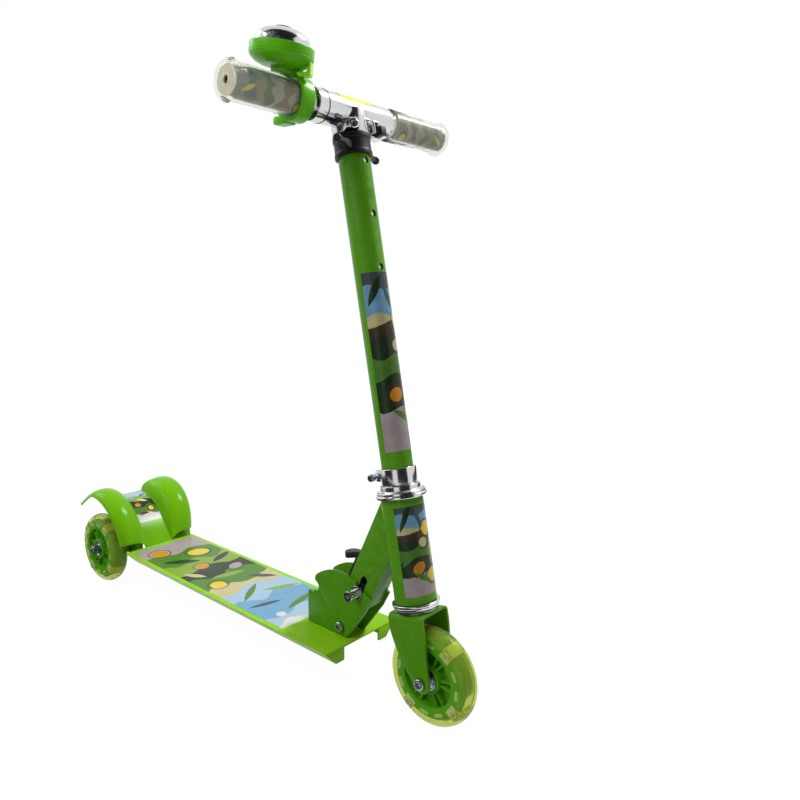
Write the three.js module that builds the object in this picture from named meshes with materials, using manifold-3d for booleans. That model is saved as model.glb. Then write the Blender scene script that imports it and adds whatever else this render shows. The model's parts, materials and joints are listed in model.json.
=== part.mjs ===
// A child's folding kick scooter with one wheel in front and two behind.
// Lengths are millimetres. X points forward, Y to the rider's left and Z up.
// The floor is Z = 0, and the origin lies on it under the middle of the scooter.
import * as THREE from "three";
import { mergeVertices } from "three/addons/utils/BufferGeometryUtils.js";
import Module from "manifold-3d";

const wasm = await Module();
wasm.setup();

// General clearances and how finely round shapes are cut
const gap = 0.3; // left between two pieces that touch
const overrun = 6; // how far a cut runs past the piece that it cuts
const fineSides = 24;
const plainSides = 18;
const smallSides = 12;
const hexSides = 6;
const arcSteps = 6;
const wireSteps = 2; // steps in half of a thin wire's section

// Overall layout, measured from the front axle until the last step of this file
const layout = {
  rake: 11.24, // degrees that the steering axis leans back
  axleLead: 9, // front axle ahead of the steering axis
  rearAxleBehind: 576.5,
  rearTrackHalf: 51.9,
  deckTop: 56.7,
  deckFrontBehind: 98.4,
  deckRearBehind: 513,
  pivotBehind: 116.4,
  pivotHeight: 67.5,
};

const wheel = {
  radius: 50,
  halfWidth: 12,
  shoulderRadius: 40,
  coreRadius: 31.5,
  boreHalfWidth: 10.5,
  rimInnerRadius: 27,
  rimHalfWidth: 9.8,
  hubRadius: 14.5,
  hubHalfWidth: 11,
  webHalf: 1.3,
  seatShoulder: 1.8, // how far the hub steps in between its bearings
  ribPairs: 6,
  ribSpread: 18, // degrees between the two ribs of a pair
  ribThickness: 1.8,
  ribHalfWidth: 8,
};

const bearing = {
  outerRadius: 11,
  width: 6.8,
  shieldInnerRadius: 7,
  shieldOuterRadius: 9.6,
  shieldDepth: 0.6,
  sleeveRadius: 6,
};

const axle = {
  radius: 4,
  headRadius: 7,
  headHeight: 5.5,
  nutHeight: 6.8,
  threadOut: 2.4,
};

const deck = {
  halfWidth: 54.1,
  sheet: 2,
  flangeDepth: 16.5,
  flangeInward: 15.4,
  tabInner: 26.5, // half the opening between the two front tabs
};

const neck = {
  lean: 26, // degrees forward from upright
  halfWidth: 12,
  wall: 2,
  rearOffset: 15.8, // rear face behind the line through the pivot
  frontOffset: 19.6,
  taperLength: 45,
  earRadius: 8,
  floorLength: 41, // where the front and rear walls begin
  belowCup: 2.5,
  earTurn: 14.4, // degrees past level that the ear's round end runs at each side
};

const cheek = {
  thickness: 2.5,
  rearBehindPivot: 52,
  hornLength: 9,
  hornRound: 4,
  hornAbovePivot: 27.3,
  hornHook: 2.3, // how far the horn's tip stands over the notch behind it
  camRadius: 61.8,
  camFrontAngle: 60, // degrees above the forward direction
  camRearAngle: 127,
  lipBehindPivot: 40, // where the round top meets the rear notch
  lipAbovePivot: 41,
  lipRise: 5,
  lipBulge: 1.5,
  tabTopAhead: 34.8,
  tabTopAbove: 48.6,
  tabNoseAhead: 45.8,
  tabNoseAbove: 43.4,
  tabFootAhead: 36.2,
  tabFootAbove: 25.8,
  footAhead: 9,
  baseThickness: 2.4,
  baseFromPivot: 16,
};

const latch = {
  pinRadius: 4,
  pinAlong: 52.9, // from the pivot, up the neck
  pinAcross: 2.5, // ahead of the line through the pivot
  travel: 16,
  foldAngle: 78, // degrees from the riding notch to the folded notch
  rearNotchAngle: 150,
  notchHalfWidth: 5.6,
  notchMouth: 2.6,
  washerRadius: 8,
  washerThickness: 1.6,
  knobRadius: 5.4,
  knobLength: 6.4,
  tipRadius: 3.9,
  tipLength: 4,
  blockBelow: 7,
  blockAbove: 9,
  blockAcross: 12,
  throatHalfWidth: 6,
  stemHalfWidth: 8,
  stemThickness: 5,
  stemTop: 33,
  tabLength: 28,
  tabThickness: 6.4,
  tabTilt: 59, // degrees between the stem and the finger tab
  springRadius: 6,
  springWire: 0.8,
  springTurns: 6,
  springLength: 30,
};

const bolt = {
  radius: 3,
  headRadius: 5.6,
  headHeight: 4,
  nutRadius: 5.8,
  nutHeight: 5,
  bushRadius: 6.2,
  socketRadius: 2.4,
  socketDepth: 2,
};

const headTube = {
  radius: 21.3,
  bore: 18.5,
  aboveCrown: 10,
  length: 103.9,
};

const headset = {
  lowerRadius: 24.4,
  upperRadius: 25.9,
  lowerFlange: 5.9,
  upperFlange: 6.8,
  insert: 8,
  wall: 1.7,
  rimWall: 2.9,
  rimRound: 1.1,
  raceInnerRadius: 14.4,
  trackRadius: 19.1,
  ballRadius: 1.85,
  ballCount: 10,
  cageHalf: 0.5,
  cageReach: 1.6,
  nutRadius: 20.5,
};

const fork = {
  crownAlong: 66,
  crownHalfLength: 22,
  halfWidth: 20.5,
  sheet: 2.5,
  bendRadius: 5,
  tipRadius: 10.5,
  shoulderDrop: 16,
  spacerRadius: 6.5,
};

const steerer = {
  radius: 14,
  wall: 2.5,
  intoColumn: 59,
};

const column = {
  radius: 15.9,
  wall: 1.5,
  aboveHeadTube: 13.1,
  length: 337,
  holeRadius: 3.4,
  topHoleBelow: 20, // from the tube's head to the middle of its first hole
  holeSpacing: 52,
  holeCount: 3,
  slitWidth: 2.4,
  slitLength: 34,
};

const clamp = {
  wall: 2.3,
  height: 16.5,
  earLength: 9.5,
  earThickness: 3,
  earInset: 2.2,
  boltRadius: 2,
  boltHeadRadius: 4,
  boltHeadLength: 5.5,
  sleeveRadius: 3,
  sleeveLength: 7.8,
};

const clip = {
  wall: 2.6,
  below: 14,
  above: 6.6,
  turn: 19, // degrees that the two arms are turned from the handlebar
  armReach: 49,
  shoulderReach: 28,
  armHeight: 4.6,
  armThickness: 4.4,
  shoulderHeight: 8,
  shoulderThickness: 6.4,
};

const innerTube = {
  radius: 13.9,
  wall: 1.5,
  belowButton: 18,
};

const button = {
  radius: 3,
  flangeRadius: 4.4,
  flangeHeight: 1.8,
};

const tBar = {
  radius: 15.5,
  axisAboveColumn: 29.6,
  halfLength: 50,
  socketRadius: 18.3,
  catchHalfLength: 9,
  catchHalfWidth: 6,
  catchDepth: 4.5,
  catchRoof: 1.2,
  catchWall: 1.6,
  buttonInset: 18, // from the tube's end to the middle of the snap button
  lugHalfWidth: 6.5,
  lugReach: 7.5,
  lugHeight: 12,
  lugBoltRadius: 3.8,
  lugBoltHead: 3.4,
  lugAcross: 6,
};

const handle = {
  radius: 12.7,
  wall: 1.3,
  insertion: 30,
  reach: 141,
};

const grip = {
  radius: 16.3,
  innerEnd: 57,
  outerEnd: 143,
  flangeRadius: 18.1,
  flangeLength: 4.4,
  flangeRound: 1.6,
  endWall: 1.7,
  endHoleRadius: 4,
};

const bell = {
  strapCentre: 67,
  strapHalfWidth: 7.5,
  strapThickness: 3.6,
  lean: 20, // degrees that the bell leans forward from the column
  bowlOffset: 19, // bowl centre outboard of the strap
  bowlBottom: 21.5,
  bowlRadius: 28.4,
  bowlHeight: 17.5,
  bowlWall: 2.2,
  stemHalfWidth: 6.5,
  tailLength: 27,
  tailHalfWidth: 5.5,
  postRadius: 4.2,
  domeClearance: 2.2, // between the dome and the inside of the bowl's rim
  domeHeight: 15.4,
  domeSheet: 1.1,
  domeInset: 1.5, // how deep the dome sits in the bowl
  capRadius: 8,
  capHeight: 1.5,
  capRound: 0.5,
  stemRadius: 2.2,
  stemLength: 12,
  leverThickness: 2.4,
  leverHalfWidth: 3.6,
  leverRise: 5, // lever plane above the bowl's bottom
  leverTipInset: 0.8, // from the bowl's outer radius
  leverDirection: 38, // degrees from straight ahead towards the rider's left
  leverPivotInset: 15.4,
  leverSwing: 12,
  thumbHalfWidth: 7,
  thumbDepth: 9.5,
  thumbThickness: 3,
  hammerTurn: 40, // degrees from the lever's arm to its hammer's arm
  hammerReach: 8.2,
  hammerRadius: 2.2,
  hammerBelowRim: 4.5,
  pinRadius: 1.6,
};

const rearBracket = {
  innerHalf: 24,
  plate: 2.5,
  bushRadius: 7.5,
  frontReach: 43, // under the deck, ahead of its rear edge
  topRise: 7.8, // of the top plate over the deck's face
  topFront: 5.5, // behind the deck's rear edge
  topRear: 17, // behind the axle
  eyeRadius: 12.5,
  frontDepth: 12,
  eyeTurn: 108, // degrees that the eye's round end runs from level, rear to front
};

const fender = {
  sheet: 2.4,
  halfWidth: 64,
  frontNarrowing: 7, // each side is this much narrower at the front
  saddleHalf: 20,
  ridgeHalf: 46,
  edgeDrop: 9,
  frontBehindDeck: 1,
  tailBehindAxle: 56.5,
  tailHeight: 110.5,
  saddleRearBehindAxle: 21,
  bayShoulderHalf: 32,
  saddleTop: 119,
  saddleTopBehindAxle: 13,
  saddleFrontRise: 1.6,
  ridgeTop: 136,
  ridgeTopBehindAxle: 4,
  ridgeFrontRise: 10,
  tailTipHalf: 4,
  tailMiddle: 57,
  wallHalf: 28.4,
  wallThickness: 2,
  wallBottomAboveAxle: 12,
  wallFrontShare: 0.12,
  wallRearShare: 0.56,
  bossRadius: 4.5,
  stations: 18,
  flankSteps: 5,
  edgeSteps: 4,
};

// Heights along the steering axis, each one stacked on the one below
const headTubeBottom = fork.crownAlong + headTube.aboveCrown;
const headTubeTop = headTubeBottom + headTube.length;
const columnBottom = headTubeTop + column.aboveHeadTube;
const columnTop = columnBottom + column.length;
const topHole = columnTop - column.topHoleBelow;
const barAlong = columnTop + tBar.axisAboveColumn;

// The moulding's side curves, as shares of their own run and rise
const topShare = 0.6;
const saddleShares = { startAcross: 0.22, startUp: 0.52, endAcross: 0.42 };
const riseShares = { startAcross: 0.04, startUp: 0.62, endAcross: 0.5 };
const fallShares = { startAcross: 0.35, endAcross: 0.3, endUp: 0.34 };

const screw = {
  radius: 2,
  headRadius: 4,
  headHeight: 2.4,
  reach: 9,
  frontBehindDeck: 20,
  rearBehindDeck: 66,
};

// Colours and finishes
const paint = { color: 0x4f9a1a, roughness: 0.32, metalness: 0.1 };
const brightPaint = { color: 0x6fc40c, roughness: 0.28, metalness: 0.1 };
const chrome = { color: 0xd8dadd, roughness: 0.12, metalness: 1 };
const zinc = { color: 0xb9bdc1, roughness: 0.3, metalness: 1 };
const blackPlastic = { color: 0x1b1c1e, roughness: 0.5, metalness: 0 };
const greenPlastic = { color: 0x67c810, roughness: 0.25, metalness: 0 };
const clearRubber = { color: 0xb9cf5a, roughness: 0.2, metalness: 0 };
const clearVinyl = { color: 0xe4e8e0, roughness: 0.12, metalness: 0 };

// Solids: joining, cutting and placing
const weld = 1e-4;
const radians = THREE.MathUtils.degToRad;

function solidOf(geometry) {
  const bare = geometry.index ? geometry.toNonIndexed() : geometry.clone();
  bare.deleteAttribute("normal");
  bare.deleteAttribute("uv");
  const merged = mergeVertices(bare, weld);
  const mesh = new wasm.Mesh({
    numProp: 3,
    vertProperties: merged.attributes.position.array,
    triVerts: Uint32Array.from(merged.index.array),
  });
  return new wasm.Manifold(mesh);
}

function geometryOf(solid) {
  const mesh = solid.getMesh();
  const geometry = new THREE.BufferGeometry();
  geometry.setAttribute("position", new THREE.BufferAttribute(mesh.vertProperties, mesh.numProp));
  geometry.setIndex(new THREE.BufferAttribute(mesh.triVerts, 1));
  return geometry;
}

function join(first, ...others) {
  return geometryOf(others.reduce((sum, other) => sum.add(solidOf(other)), solidOf(first)));
}

function cut(body, ...tools) {
  return geometryOf(tools.reduce((rest, tool) => rest.subtract(solidOf(tool)), solidOf(body)));
}

function common(first, second) {
  return geometryOf(solidOf(first).intersect(solidOf(second)));
}

// A ring or a solid of revolution about Y. The profile runs up its outer side: [radius, along].
function spunY(profile, sides = plainSides) {
  const points = profile.map(([radius, along]) => new THREE.Vector2(radius, along));
  return new THREE.LatheGeometry(points, sides);
}

function spunZ(profile, sides = plainSides) {
  return spunY(profile, sides).rotateX(Math.PI / 2);
}

function rodProfile(radius, from, to) {
  return [
    [0, from],
    [radius, from],
    [radius, to],
    [0, to],
  ];
}

function tubeProfile(outer, inner, from, to) {
  return [
    [inner, from],
    [outer, from],
    [outer, to],
    [inner, to],
    [inner, from],
  ];
}

const rodY = (radius, from, to, sides = smallSides) => spunY(rodProfile(radius, from, to), sides);
const rodZ = (radius, from, to, sides = smallSides) => spunZ(rodProfile(radius, from, to), sides);
const rodX = (radius, from, to, sides = smallSides) => rodZ(radius, from, to, sides).rotateY(Math.PI / 2);
const tubeY = (outer, inner, from, to, sides) => spunY(tubeProfile(outer, inner, from, to), sides);
const tubeZ = (outer, inner, from, to, sides) => spunZ(tubeProfile(outer, inner, from, to), sides);

// A block between two corners.
function block(low, high) {
  const size = high.map((value, axis) => value - low[axis]);
  const middle = high.map((value, axis) => (value + low[axis]) / 2);
  return new THREE.BoxGeometry(...size).translate(...middle);
}

// A plate: an outline in X and Z, with its thickness about the plane Y = 0.
function plateXZ(outline, thickness) {
  const geometry = new THREE.ExtrudeGeometry(outline, {
    depth: thickness,
    bevelEnabled: false,
    curveSegments: arcSteps,
  });
  return geometry.rotateX(Math.PI / 2).translate(0, thickness / 2, 0);
}

// A bar with an outline in Y and Z, that runs along X.
function barAlongX(outline, from, to) {
  const geometry = new THREE.ExtrudeGeometry(outline, {
    depth: to - from,
    bevelEnabled: false,
    curveSegments: arcSteps,
  });
  const turn = new THREE.Matrix4().makeBasis(
    new THREE.Vector3(0, 1, 0),
    new THREE.Vector3(0, 0, 1),
    new THREE.Vector3(1, 0, 0),
  );
  return geometry.applyMatrix4(turn).translate(from, 0, 0);
}

function outlineOf(points) {
  return new THREE.Shape(points.map(([x, z]) => new THREE.Vector2(x, z)));
}

// A slot's outline: two half circles joined by straight sides, from one centre to the other.
function slotOutline(from, to, radius) {
  const angle = Math.atan2(to[1] - from[1], to[0] - from[0]);
  const shape = new THREE.Shape();
  shape.absarc(to[0], to[1], radius, angle - Math.PI / 2, angle + Math.PI / 2, false);
  shape.absarc(from[0], from[1], radius, angle + Math.PI / 2, angle - Math.PI / 2, false);
  return shape;
}

function mirroredY(geometry) {
  const flipped = geometry.index ? geometry.toNonIndexed() : geometry.clone();
  flipped.applyMatrix4(new THREE.Matrix4().makeScale(1, -1, 1));
  const position = flipped.getAttribute("position");
  const corner = new THREE.Vector3();
  const other = new THREE.Vector3();
  for (let i = 0; i < position.count; i += 3) {
    corner.fromBufferAttribute(position, i + 1);
    other.fromBufferAttribute(position, i + 2);
    position.setXYZ(i + 1, other.x, other.y, other.z);
    position.setXYZ(i + 2, corner.x, corner.y, corner.z);
  }
  return flipped;
}

// The frames that the pieces are built in
const rakeAngle = radians(layout.rake);
const columnFrame = new THREE.Group();
columnFrame.position.set(
  -layout.axleLead * Math.cos(rakeAngle),
  0,
  wheel.radius - layout.axleLead * Math.sin(rakeAngle),
);
columnFrame.rotation.y = -rakeAngle;

const neckFrame = new THREE.Group();
neckFrame.position.set(-layout.pivotBehind, 0, layout.pivotHeight);
neckFrame.rotation.y = radians(neck.lean);

const bellFrame = new THREE.Group();
bellFrame.position.set(0, -bell.strapCentre, barAlong);
bellFrame.rotation.y = radians(bell.lean);
columnFrame.add(bellFrame);

const scooter = new THREE.Group();
scooter.add(columnFrame, neckFrame);
scooter.updateMatrixWorld(true);

function between(geometry, from, to) {
  const matrix = to.matrixWorld.clone().invert().multiply(from.matrixWorld);
  return geometry.clone().applyMatrix4(matrix);
}

function addPiece(frame, name, geometry, finish) {
  const faceted = geometry.index ? geometry.toNonIndexed() : geometry;
  faceted.computeVertexNormals();
  const mesh = new THREE.Mesh(faceted, new THREE.MeshStandardMaterial(finish));
  mesh.name = name;
  frame.add(mesh);
  return mesh;
}

// Wheels
function tyreGeometry() {
  const bore = wheel.coreRadius + gap;
  const profile = [[bore, -wheel.boreHalfWidth]];
  for (let i = 0; i <= arcSteps; i += 1) {
    const angle = Math.PI * (i / arcSteps - 1 / 2);
    const crown = wheel.radius - wheel.shoulderRadius;
    profile.push([wheel.shoulderRadius + crown * Math.cos(angle), wheel.halfWidth * Math.sin(angle)]);
  }
  profile.push([bore, wheel.boreHalfWidth], [bore, -wheel.boreHalfWidth]);
  return spunY(profile, fineSides);
}

function coreGeometry() {
  const seat = bearing.outerRadius + gap;
  const inside = wheel.hubHalfWidth - bearing.width - gap;
  const step = seat - wheel.seatShoulder;
  const half = [
    [seat, wheel.hubHalfWidth],
    [wheel.hubRadius, wheel.hubHalfWidth],
    [wheel.hubRadius, wheel.webHalf],
    [wheel.rimInnerRadius, wheel.webHalf],
    [wheel.rimInnerRadius, wheel.rimHalfWidth],
    [wheel.coreRadius, wheel.rimHalfWidth],
  ];
  const lower = half.map(([radius, along]) => [radius, -along]);
  const upper = [...half].reverse();
  const bore = [
    [seat, inside],
    [step, inside],
    [step, -inside],
    [seat, -inside],
    [seat, -wheel.hubHalfWidth],
  ];
  let core = spunY([...lower, ...upper, ...bore], plainSides);
  const ribInner = (seat + wheel.hubRadius) / 2;
  const ribOuter = (wheel.rimInnerRadius + wheel.coreRadius) / 2;
  const ribs = [];
  for (let pair = 0; pair < wheel.ribPairs; pair += 1) {
    for (const side of [-1, 1]) {
      const turn = (Math.PI * 2 * pair) / wheel.ribPairs + (side * radians(wheel.ribSpread)) / 2;
      const rib = block(
        [ribInner, -wheel.ribHalfWidth, -wheel.ribThickness / 2],
        [ribOuter, wheel.ribHalfWidth, wheel.ribThickness / 2],
      );
      ribs.push(rib.rotateY(turn));
    }
  }
  core = join(core, ...ribs);
  return core;
}

// Two ball bearings and the sleeve that keeps them apart, pressed together on the axle.
function bearingSetGeometry() {
  const bore = axle.radius + gap;
  const outer = wheel.hubHalfWidth;
  const inner = outer - bearing.width;
  const face = [
    [bearing.shieldInnerRadius, outer],
    [bearing.shieldInnerRadius, outer - bearing.shieldDepth],
    [bearing.shieldOuterRadius, outer - bearing.shieldDepth],
    [bearing.shieldOuterRadius, outer],
    [bearing.outerRadius, outer],
    [bearing.outerRadius, inner],
    [bearing.sleeveRadius, inner],
  ];
  const lower = face.map(([radius, along]) => [radius, -along]);
  const upper = [...face].reverse();
  return spunY([[bore, -outer], ...lower, ...upper, [bore, outer], [bore, -outer]], smallSides);
}

function addWheel(frame, prefix) {
  addPiece(frame, `${prefix}_tyre`, tyreGeometry(), clearRubber);
  addPiece(frame, `${prefix}_core`, coreGeometry(), greenPlastic);
  addPiece(frame, `${prefix}_bearings`, bearingSetGeometry(), zinc);
}

function addWheels() {
  const front = new THREE.Group();
  front.position.set(0, 0, wheel.radius);
  scooter.add(front);
  addWheel(front, "front_wheel");
  for (const [side, name] of [
    [-1, "rear_wheel_right"],
    [1, "rear_wheel_left"],
  ]) {
    const rear = new THREE.Group();
    rear.position.set(-layout.rearAxleBehind, side * layout.rearTrackHalf, wheel.radius);
    scooter.add(rear);
    addWheel(rear, name);
  }
}

// Rear axle, its bracket and the deck
function hexNutY(radius, bore, from, to) {
  const nut = new THREE.CylinderGeometry(radius, radius, to - from, hexSides);
  nut.translate(0, (from + to) / 2, 0);
  return cut(nut, rodY(bore, from - overrun, to + overrun));
}

function addRearAxle() {
  const frame = new THREE.Group();
  frame.position.set(-layout.rearAxleBehind, 0, wheel.radius);
  scooter.add(frame);
  const outer = layout.rearTrackHalf + wheel.hubHalfWidth + gap;
  const nutEnd = outer + axle.nutHeight;
  const head = new THREE.CylinderGeometry(axle.headRadius, axle.headRadius, axle.headHeight, hexSides);
  head.translate(0, outer + axle.headHeight / 2, 0);
  const shank = rodY(axle.radius, -nutEnd - axle.threadOut, outer + axle.headHeight / 2);
  addPiece(frame, "rear_axle", join(shank, head), zinc);
  addPiece(frame, "rear_axle_nut", hexNutY(axle.headRadius, axle.radius + gap, -nutEnd, -outer), zinc);
}

function deckUnderside() {
  return layout.deckTop - deck.sheet;
}

function bracketTop() {
  return layout.deckTop + rearBracket.topRise;
}

function rearBracketGeometry() {
  const front = -layout.deckRearBehind + rearBracket.frontReach;
  const step = -layout.deckRearBehind - rearBracket.topFront;
  const rear = -layout.rearAxleBehind - rearBracket.topRear;
  const under = deckUnderside() - gap;
  const top = bracketTop();
  const outline = new THREE.Shape();
  outline.moveTo(front, under);
  outline.lineTo(step, under);
  outline.lineTo(step, top);
  outline.lineTo(rear, top);
  outline.lineTo(rear, wheel.radius);
  const eyeEnd = Math.PI + radians(rearBracket.eyeTurn);
  outline.absarc(-layout.rearAxleBehind, wheel.radius, rearBracket.eyeRadius, Math.PI, eyeEnd, false);
  outline.lineTo(front, under - rearBracket.frontDepth);
  outline.closePath();
  const outer = rearBracket.innerHalf + rearBracket.plate;
  const sides = [-1, 1].map((side) =>
    plateXZ(outline, rearBracket.plate).translate(0, side * (outer - rearBracket.plate / 2), 0),
  );
  const topPlate = block([rear, -outer, top - rearBracket.plate], [step, outer, top]);
  const underPlate = block(
    [-layout.deckRearBehind, -outer, under - rearBracket.plate],
    [front, outer, under],
  );
  const bushHalf = layout.rearTrackHalf - wheel.hubHalfWidth - gap;
  const bush = rodY(rearBracket.bushRadius, -bushHalf, bushHalf);
  bush.translate(-layout.rearAxleBehind, 0, wheel.radius);
  const bore = rodY(axle.radius + gap, -bushHalf - overrun, bushHalf + overrun);
  bore.translate(-layout.rearAxleBehind, 0, wheel.radius);
  const screwHoles = screwPlaces().map((x) =>
    rodZ(screw.radius + gap, top - rearBracket.plate - overrun, top + overrun).translate(x, 0, 0),
  );
  return cut(join(...sides, topPlate, underPlate, bush), bore, ...screwHoles);
}

// The tread: a pressed sheet whose long edges fold under at a slant. Two tabs close its front corners.
function deckGeometry() {
  const top = layout.deckTop;
  const slant = Math.hypot(deck.flangeInward, deck.flangeDepth);
  const across = [deck.flangeInward / slant, -deck.flangeDepth / slant];
  const inwardY = -across[1] * deck.sheet;
  const inwardZ = across[0] * deck.sheet;
  const footY = -deck.halfWidth + deck.flangeInward;
  const footZ = top - deck.flangeDepth;
  const cornerRun = (deck.sheet + inwardZ) / -across[1];
  const innerCornerY = -deck.halfWidth + inwardY + cornerRun * across[0];
  const half = [
    [-deck.halfWidth, top],
    [footY, footZ],
    [footY + inwardY, footZ + inwardZ],
    [innerCornerY, top - deck.sheet],
  ];
  const otherHalf = [...half].reverse().map(([y, z]) => [-y, z]);
  const rear = -layout.deckRearBehind;
  const front = -layout.deckFrontBehind;
  const tray = barAlongX(outlineOf([...half, ...otherHalf]), rear, front);
  const tabs = [-1, 1].map((side) => {
    const corners = [
      [-deck.halfWidth + inwardY / 2, top - inwardZ / 2],
      [footY, footZ],
      [-deck.tabInner, footZ],
      [-deck.tabInner, top - deck.sheet / 2],
    ];
    const outline = side < 0 ? corners : corners.map(([y, z]) => [-y, z]).reverse();
    return barAlongX(outlineOf(outline), front - deck.sheet, front);
  });
  return join(tray, ...tabs);
}

// The folding joint: two cheeks whose round top guides the latch pin from one notch to the other.
function pinFromPivot() {
  const lean = radians(neck.lean);
  const ahead = latch.pinAlong * Math.sin(lean) + latch.pinAcross * Math.cos(lean);
  const above = latch.pinAlong * Math.cos(lean) - latch.pinAcross * Math.sin(lean);
  return { reach: Math.hypot(ahead, above), angle: Math.atan2(above, ahead) };
}

function notchTool(seatAngle, openAngle) {
  const { reach } = pinFromPivot();
  const seat = [reach * Math.cos(seatAngle), reach * Math.sin(seatAngle)];
  const along = [Math.cos(openAngle), Math.sin(openAngle)];
  const far = [seat[0] + cheek.camRadius * along[0], seat[1] + cheek.camRadius * along[1]];
  const through = (neck.halfWidth + cheek.thickness + overrun) * 2;
  const slot = plateXZ(slotOutline(seat, far, latch.notchHalfWidth), through);
  const mouthRun = cheek.camRadius - reach + overrun / 2;
  const mouth = [seat[0] + mouthRun * along[0], seat[1] + mouthRun * along[1]];
  const flare = plateXZ(slotOutline(mouth, far, latch.notchHalfWidth + latch.notchMouth), through);
  return join(slot, flare);
}

function cheekOutline() {
  const foot = layout.deckTop + gap - layout.pivotHeight;
  const shape = new THREE.Shape();
  shape.moveTo(-cheek.rearBehindPivot, foot);
  shape.lineTo(cheek.footAhead, foot);
  shape.lineTo(cheek.tabFootAhead, cheek.tabFootAbove);
  shape.lineTo(cheek.tabNoseAhead, cheek.tabNoseAbove);
  shape.lineTo(cheek.tabTopAhead, cheek.tabTopAbove);
  shape.absarc(0, 0, cheek.camRadius, radians(cheek.camFrontAngle), radians(cheek.camRearAngle), false);
  shape.quadraticCurveTo(
    -cheek.lipBehindPivot - cheek.lipBulge,
    cheek.lipAbovePivot + cheek.lipRise,
    -cheek.lipBehindPivot,
    cheek.lipAbovePivot,
  );
  shape.lineTo(-cheek.rearBehindPivot + cheek.hornLength, cheek.hornAbovePivot - cheek.hornHook);
  shape.lineTo(-cheek.rearBehindPivot + cheek.hornRound, cheek.hornAbovePivot);
  shape.quadraticCurveTo(
    -cheek.rearBehindPivot,
    cheek.hornAbovePivot,
    -cheek.rearBehindPivot,
    cheek.hornAbovePivot - cheek.hornRound,
  );
  shape.closePath();
  return shape;
}

function foldBracketGeometry() {
  const inner = neck.halfWidth + gap;
  const middle = inner + cheek.thickness / 2;
  const cheeks = [-1, 1].map((side) =>
    plateXZ(cheekOutline(), cheek.thickness).translate(0, side * middle, 0),
  );
  const foot = layout.deckTop + gap - layout.pivotHeight;
  const base = block(
    [-cheek.rearBehindPivot, -middle, foot],
    [-cheek.baseFromPivot, middle, foot + cheek.baseThickness],
  );
  const { angle } = pinFromPivot();
  const ridingNotch = notchTool(angle, angle);
  const foldedNotch = notchTool(angle + radians(latch.foldAngle), radians(latch.rearNotchAngle));
  const bore = rodY(bolt.radius + gap, -middle - overrun, middle + overrun);
  const bracket = cut(join(...cheeks, base), ridingNotch, foldedNotch, bore);
  return bracket.translate(-layout.pivotBehind, 0, layout.pivotHeight);
}

function addPivot() {
  const outer = neck.halfWidth + gap + cheek.thickness + gap;
  const shank = rodY(bolt.radius, -outer - bolt.headHeight / 2, outer + bolt.nutHeight + gap);
  const head = rodY(bolt.headRadius, -outer - bolt.headHeight, -outer);
  const socket = new THREE.CylinderGeometry(
    bolt.socketRadius,
    bolt.socketRadius,
    bolt.socketDepth * 2,
    hexSides,
  ).translate(0, -outer - bolt.headHeight, 0);
  const frame = new THREE.Group();
  frame.position.copy(neckFrame.position);
  scooter.add(frame);
  addPiece(frame, "pivot_bolt", cut(join(shank, head), socket), zinc);
  addPiece(
    frame,
    "pivot_nut",
    hexNutY(bolt.nutRadius, bolt.radius + gap, outer, outer + bolt.nutHeight),
    zinc,
  );
  const bushHalf = neck.halfWidth - neck.wall - gap;
  const bush = tubeY(bolt.bushRadius, bolt.radius + gap, -bushHalf, bushHalf, smallSides);
  addPiece(frame, "pivot_bush", bush, zinc);
}

// The neck: a folded box that leans from the pivot up to the head tube.
function neckOutline(inset, from) {
  const end = headTubeTop * 2;
  const rear = -neck.rearOffset + inset;
  const front = neck.frontOffset - inset;
  const shape = new THREE.Shape();
  if (inset > 0) {
    shape.moveTo(rear, from);
    shape.lineTo(front, from);
  } else {
    const turn = radians(neck.earTurn);
    shape.absarc(0, 0, neck.earRadius, Math.PI + turn, -turn, false);
    shape.lineTo(front, neck.taperLength);
  }
  shape.lineTo(front, end);
  shape.lineTo(rear, end);
  if (inset === 0) {
    shape.lineTo(rear, neck.taperLength);
  }
  shape.closePath();
  return shape;
}

function headTubeSpace(radius) {
  const blank = rodZ(radius, headTubeBottom - headTubeTop, headTubeTop * 2, fineSides);
  return between(blank, columnFrame, neckFrame);
}

function neckBoxGeometry() {
  const width = neck.halfWidth * 2;
  const outer = plateXZ(neckOutline(0, 0), width);
  const hollow = plateXZ(neckOutline(neck.wall, -neck.earRadius * 2), width - neck.wall * 2);
  const openEnd = block(
    [-neck.rearOffset * 2, -neck.halfWidth + neck.wall, -neck.earRadius * 2],
    [neck.frontOffset * 2, neck.halfWidth - neck.wall, neck.floorLength],
  );
  const beyond = between(
    block(
      [0, -headTube.radius * 2, -headTubeTop],
      [headTubeTop * 2, headTube.radius * 2, headTubeTop * 2],
    ),
    columnFrame,
    neckFrame,
  );
  const cupSpace = between(
    block(
      [-headTubeTop, -headTube.radius * 2, headTubeTop - neck.belowCup],
      [headTubeTop, headTube.radius * 2, headTubeTop * 2],
    ),
    columnFrame,
    neckFrame,
  );
  const slotFrom = [latch.pinAcross, latch.pinAlong];
  const slotTo = [latch.pinAcross, latch.pinAlong + latch.travel];
  const slot = plateXZ(slotOutline(slotFrom, slotTo, latch.pinRadius + gap), width * 2);
  const windowHalf = latch.throatHalfWidth + gap * 2;
  const windowFoot = latch.pinAlong - latch.blockBelow - gap * 2;
  const windowTop = latch.pinAlong + latch.blockAbove + latch.travel + gap * 2;
  const handleWindow = block(
    [-neck.rearOffset - overrun, -windowHalf, windowFoot],
    [-neck.rearOffset + neck.wall + overrun, windowHalf, windowTop],
  );
  const bore = rodY(bolt.radius + gap, -width, width);
  return cut(
    outer,
    hollow,
    openEnd,
    headTubeSpace(headTube.radius + gap),
    beyond,
    cupSpace,
    slot,
    handleWindow,
    bore,
  );
}

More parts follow.
